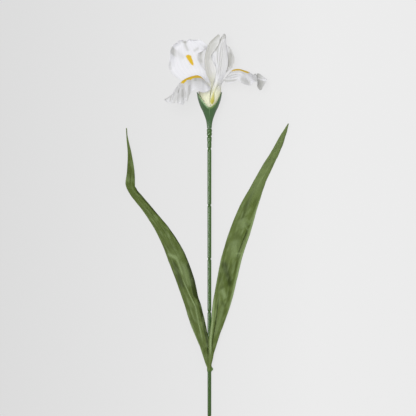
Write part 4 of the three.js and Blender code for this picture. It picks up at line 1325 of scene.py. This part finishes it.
class IRIS_OT_set_stage(bpy.types.Operator):
    """Adds the pale table, the soft lights and the camera that looks down."""

    bl_idname = "iris.set_stage"
    bl_label = "Stage"

    def execute(self, context):
        settings = context.scene.iris_stage
        self.add_table(settings)
        self.add_light(context, "key light", "DISK", KEY_PLACE, KEY_SIZE, settings.key_power)
        strip = self.add_light(
            context, "strip light", "RECTANGLE", STRIP_PLACE, STRIP_SIZE, settings.strip_power
        )
        # The strip only gives the plastic its gloss
        strip.visible_diffuse = False
        self.add_room(context, settings)
        self.add_camera(context)
        context.scene.view_settings.view_transform = "Standard"
        return {"FINISHED"}

    def add_table(self, settings):
        """A wide flat table top. It glows a little, as a lit one does in a white room."""
        mesh = bmesh.new()
        bmesh.ops.create_grid(mesh, x_segments=1, y_segments=1, size=TABLE_HALF_WIDTH)
        bmesh.ops.translate(mesh, verts=mesh.verts, vec=(0, 0, -TABLE_GAP))
        made, add = new_material("painted_table_top")
        matt = add("BsdfDiffuse", {"Color": linear(TABLE_GREY)})
        place = add("TexCoord").outputs["Object"]
        sideways = add("SeparateXYZ", {"Vector": place}).outputs["X"]
        sides = {"From Min": DIM_SIDE_X, "From Max": BRIGHT_SIDE_X}
        glows = {"To Min": DIM_SIDE_GLOW, "To Max": BRIGHT_SIDE_GLOW}
        strength = add("MapRange", {"Value": sideways, **sides, **glows})
        glow = add("Emission", {"Color": tuple(settings.table_colour), "Strength": strength})
        add("OutputMaterial", {"Surface": add("AddShader", {0: matt, 1: glow})})
        finished("table_top", mesh, made)

    def add_light(self, context, name, shape, place, size, power):
        """A soft light that shines from its place to the middle of the table."""
        light = bpy.data.lights.new(name, "AREA")
        light.shape = shape
        light.size, light.size_y = size
        light.energy = power
        lamp = bpy.data.objects.new(name, light)
        lamp.location = place
        lamp.rotation_euler = (-lamp.location).to_track_quat("-Z", "Y").to_euler()
        context.collection.objects.link(lamp)
        return lamp

    def add_room(self, context, settings):
        """Even light all round."""
        world = bpy.data.worlds.new("white room")
        world.use_nodes = True
        background = world.node_tree.nodes["Background"]
        background.inputs["Color"].default_value = (1, 1, 1, 1)
        background.inputs["Strength"].default_value = settings.sky_strength
        context.scene.world = world

    def add_camera(self, context):
        """A long lens straight above, with the picture's width as given."""
        distance = VIEW_WIDTH * LENS / SENSOR_WIDTH
        lens = bpy.data.cameras.new("camera")
        lens.lens = LENS
        lens.sensor_width = SENSOR_WIDTH
        lens.clip_start = distance / CLIP_RATIO
        lens.clip_end = distance * CLIP_RATIO
        camera = bpy.data.objects.new("camera", lens)
        camera.location = (
            CUT_END_X + VIEW_CENTRE_X, CUT_END_Y + VIEW_CENTRE_Y, VIEW_HEIGHT + distance
        )
        context.collection.objects.link(camera)
        context.scene.camera = camera


class IRIS_PT_panel(bpy.types.Panel):
    """Lists the flower's settings and the steps that build it."""

    bl_label = "Iris"
    bl_space_type = "VIEW_3D"
    bl_region_type = "UI"
    bl_category = "Iris"

    def draw(self, context):
        for operator in OPERATORS:
            self.layout.operator(operator.bl_idname)
        for name in SETTINGS:
            group = getattr(context.scene, name)
            box = self.layout.box()
            for key in group.__annotations__:
                box.prop(group, key)


OPERATORS = [
    IRIS_OT_add_stem,
    IRIS_OT_finish_wire,
    IRIS_OT_add_collar,
    IRIS_OT_add_peg,
    IRIS_OT_add_calyx,
    IRIS_OT_add_falls,
    IRIS_OT_add_standards,
    IRIS_OT_add_leaves,
    IRIS_OT_set_stage,
]
SETTINGS = {
    "iris_plastic": IrisPlasticSettings,
    "iris_petals": IrisPetalSettings,
    "iris_leaves": IrisLeafSettings,
    "iris_stage": IrisStageSettings,
}


def register():
    """Registers the settings, the steps and the panel."""
    for name, group in SETTINGS.items():
        bpy.utils.register_class(group)
        setattr(bpy.types.Scene, name, bpy.props.PointerProperty(type=group))
    for operator in OPERATORS:
        bpy.utils.register_class(operator)
    bpy.utils.register_class(IRIS_PT_panel)


def unregister():
    """Takes everything back out that register put in."""
    bpy.utils.unregister_class(IRIS_PT_panel)
    for operator in reversed(OPERATORS):
        bpy.utils.unregister_class(operator)
    for name, group in SETTINGS.items():
        delattr(bpy.types.Scene, name)
        bpy.utils.unregister_class(group)


def main():
    """Builds the flower and its stage."""
    register()
    for operator in OPERATORS:
        group, step = operator.bl_idname.split(".")
        getattr(getattr(bpy.ops, group), step)()


if __name__ == "__main__":
    main()
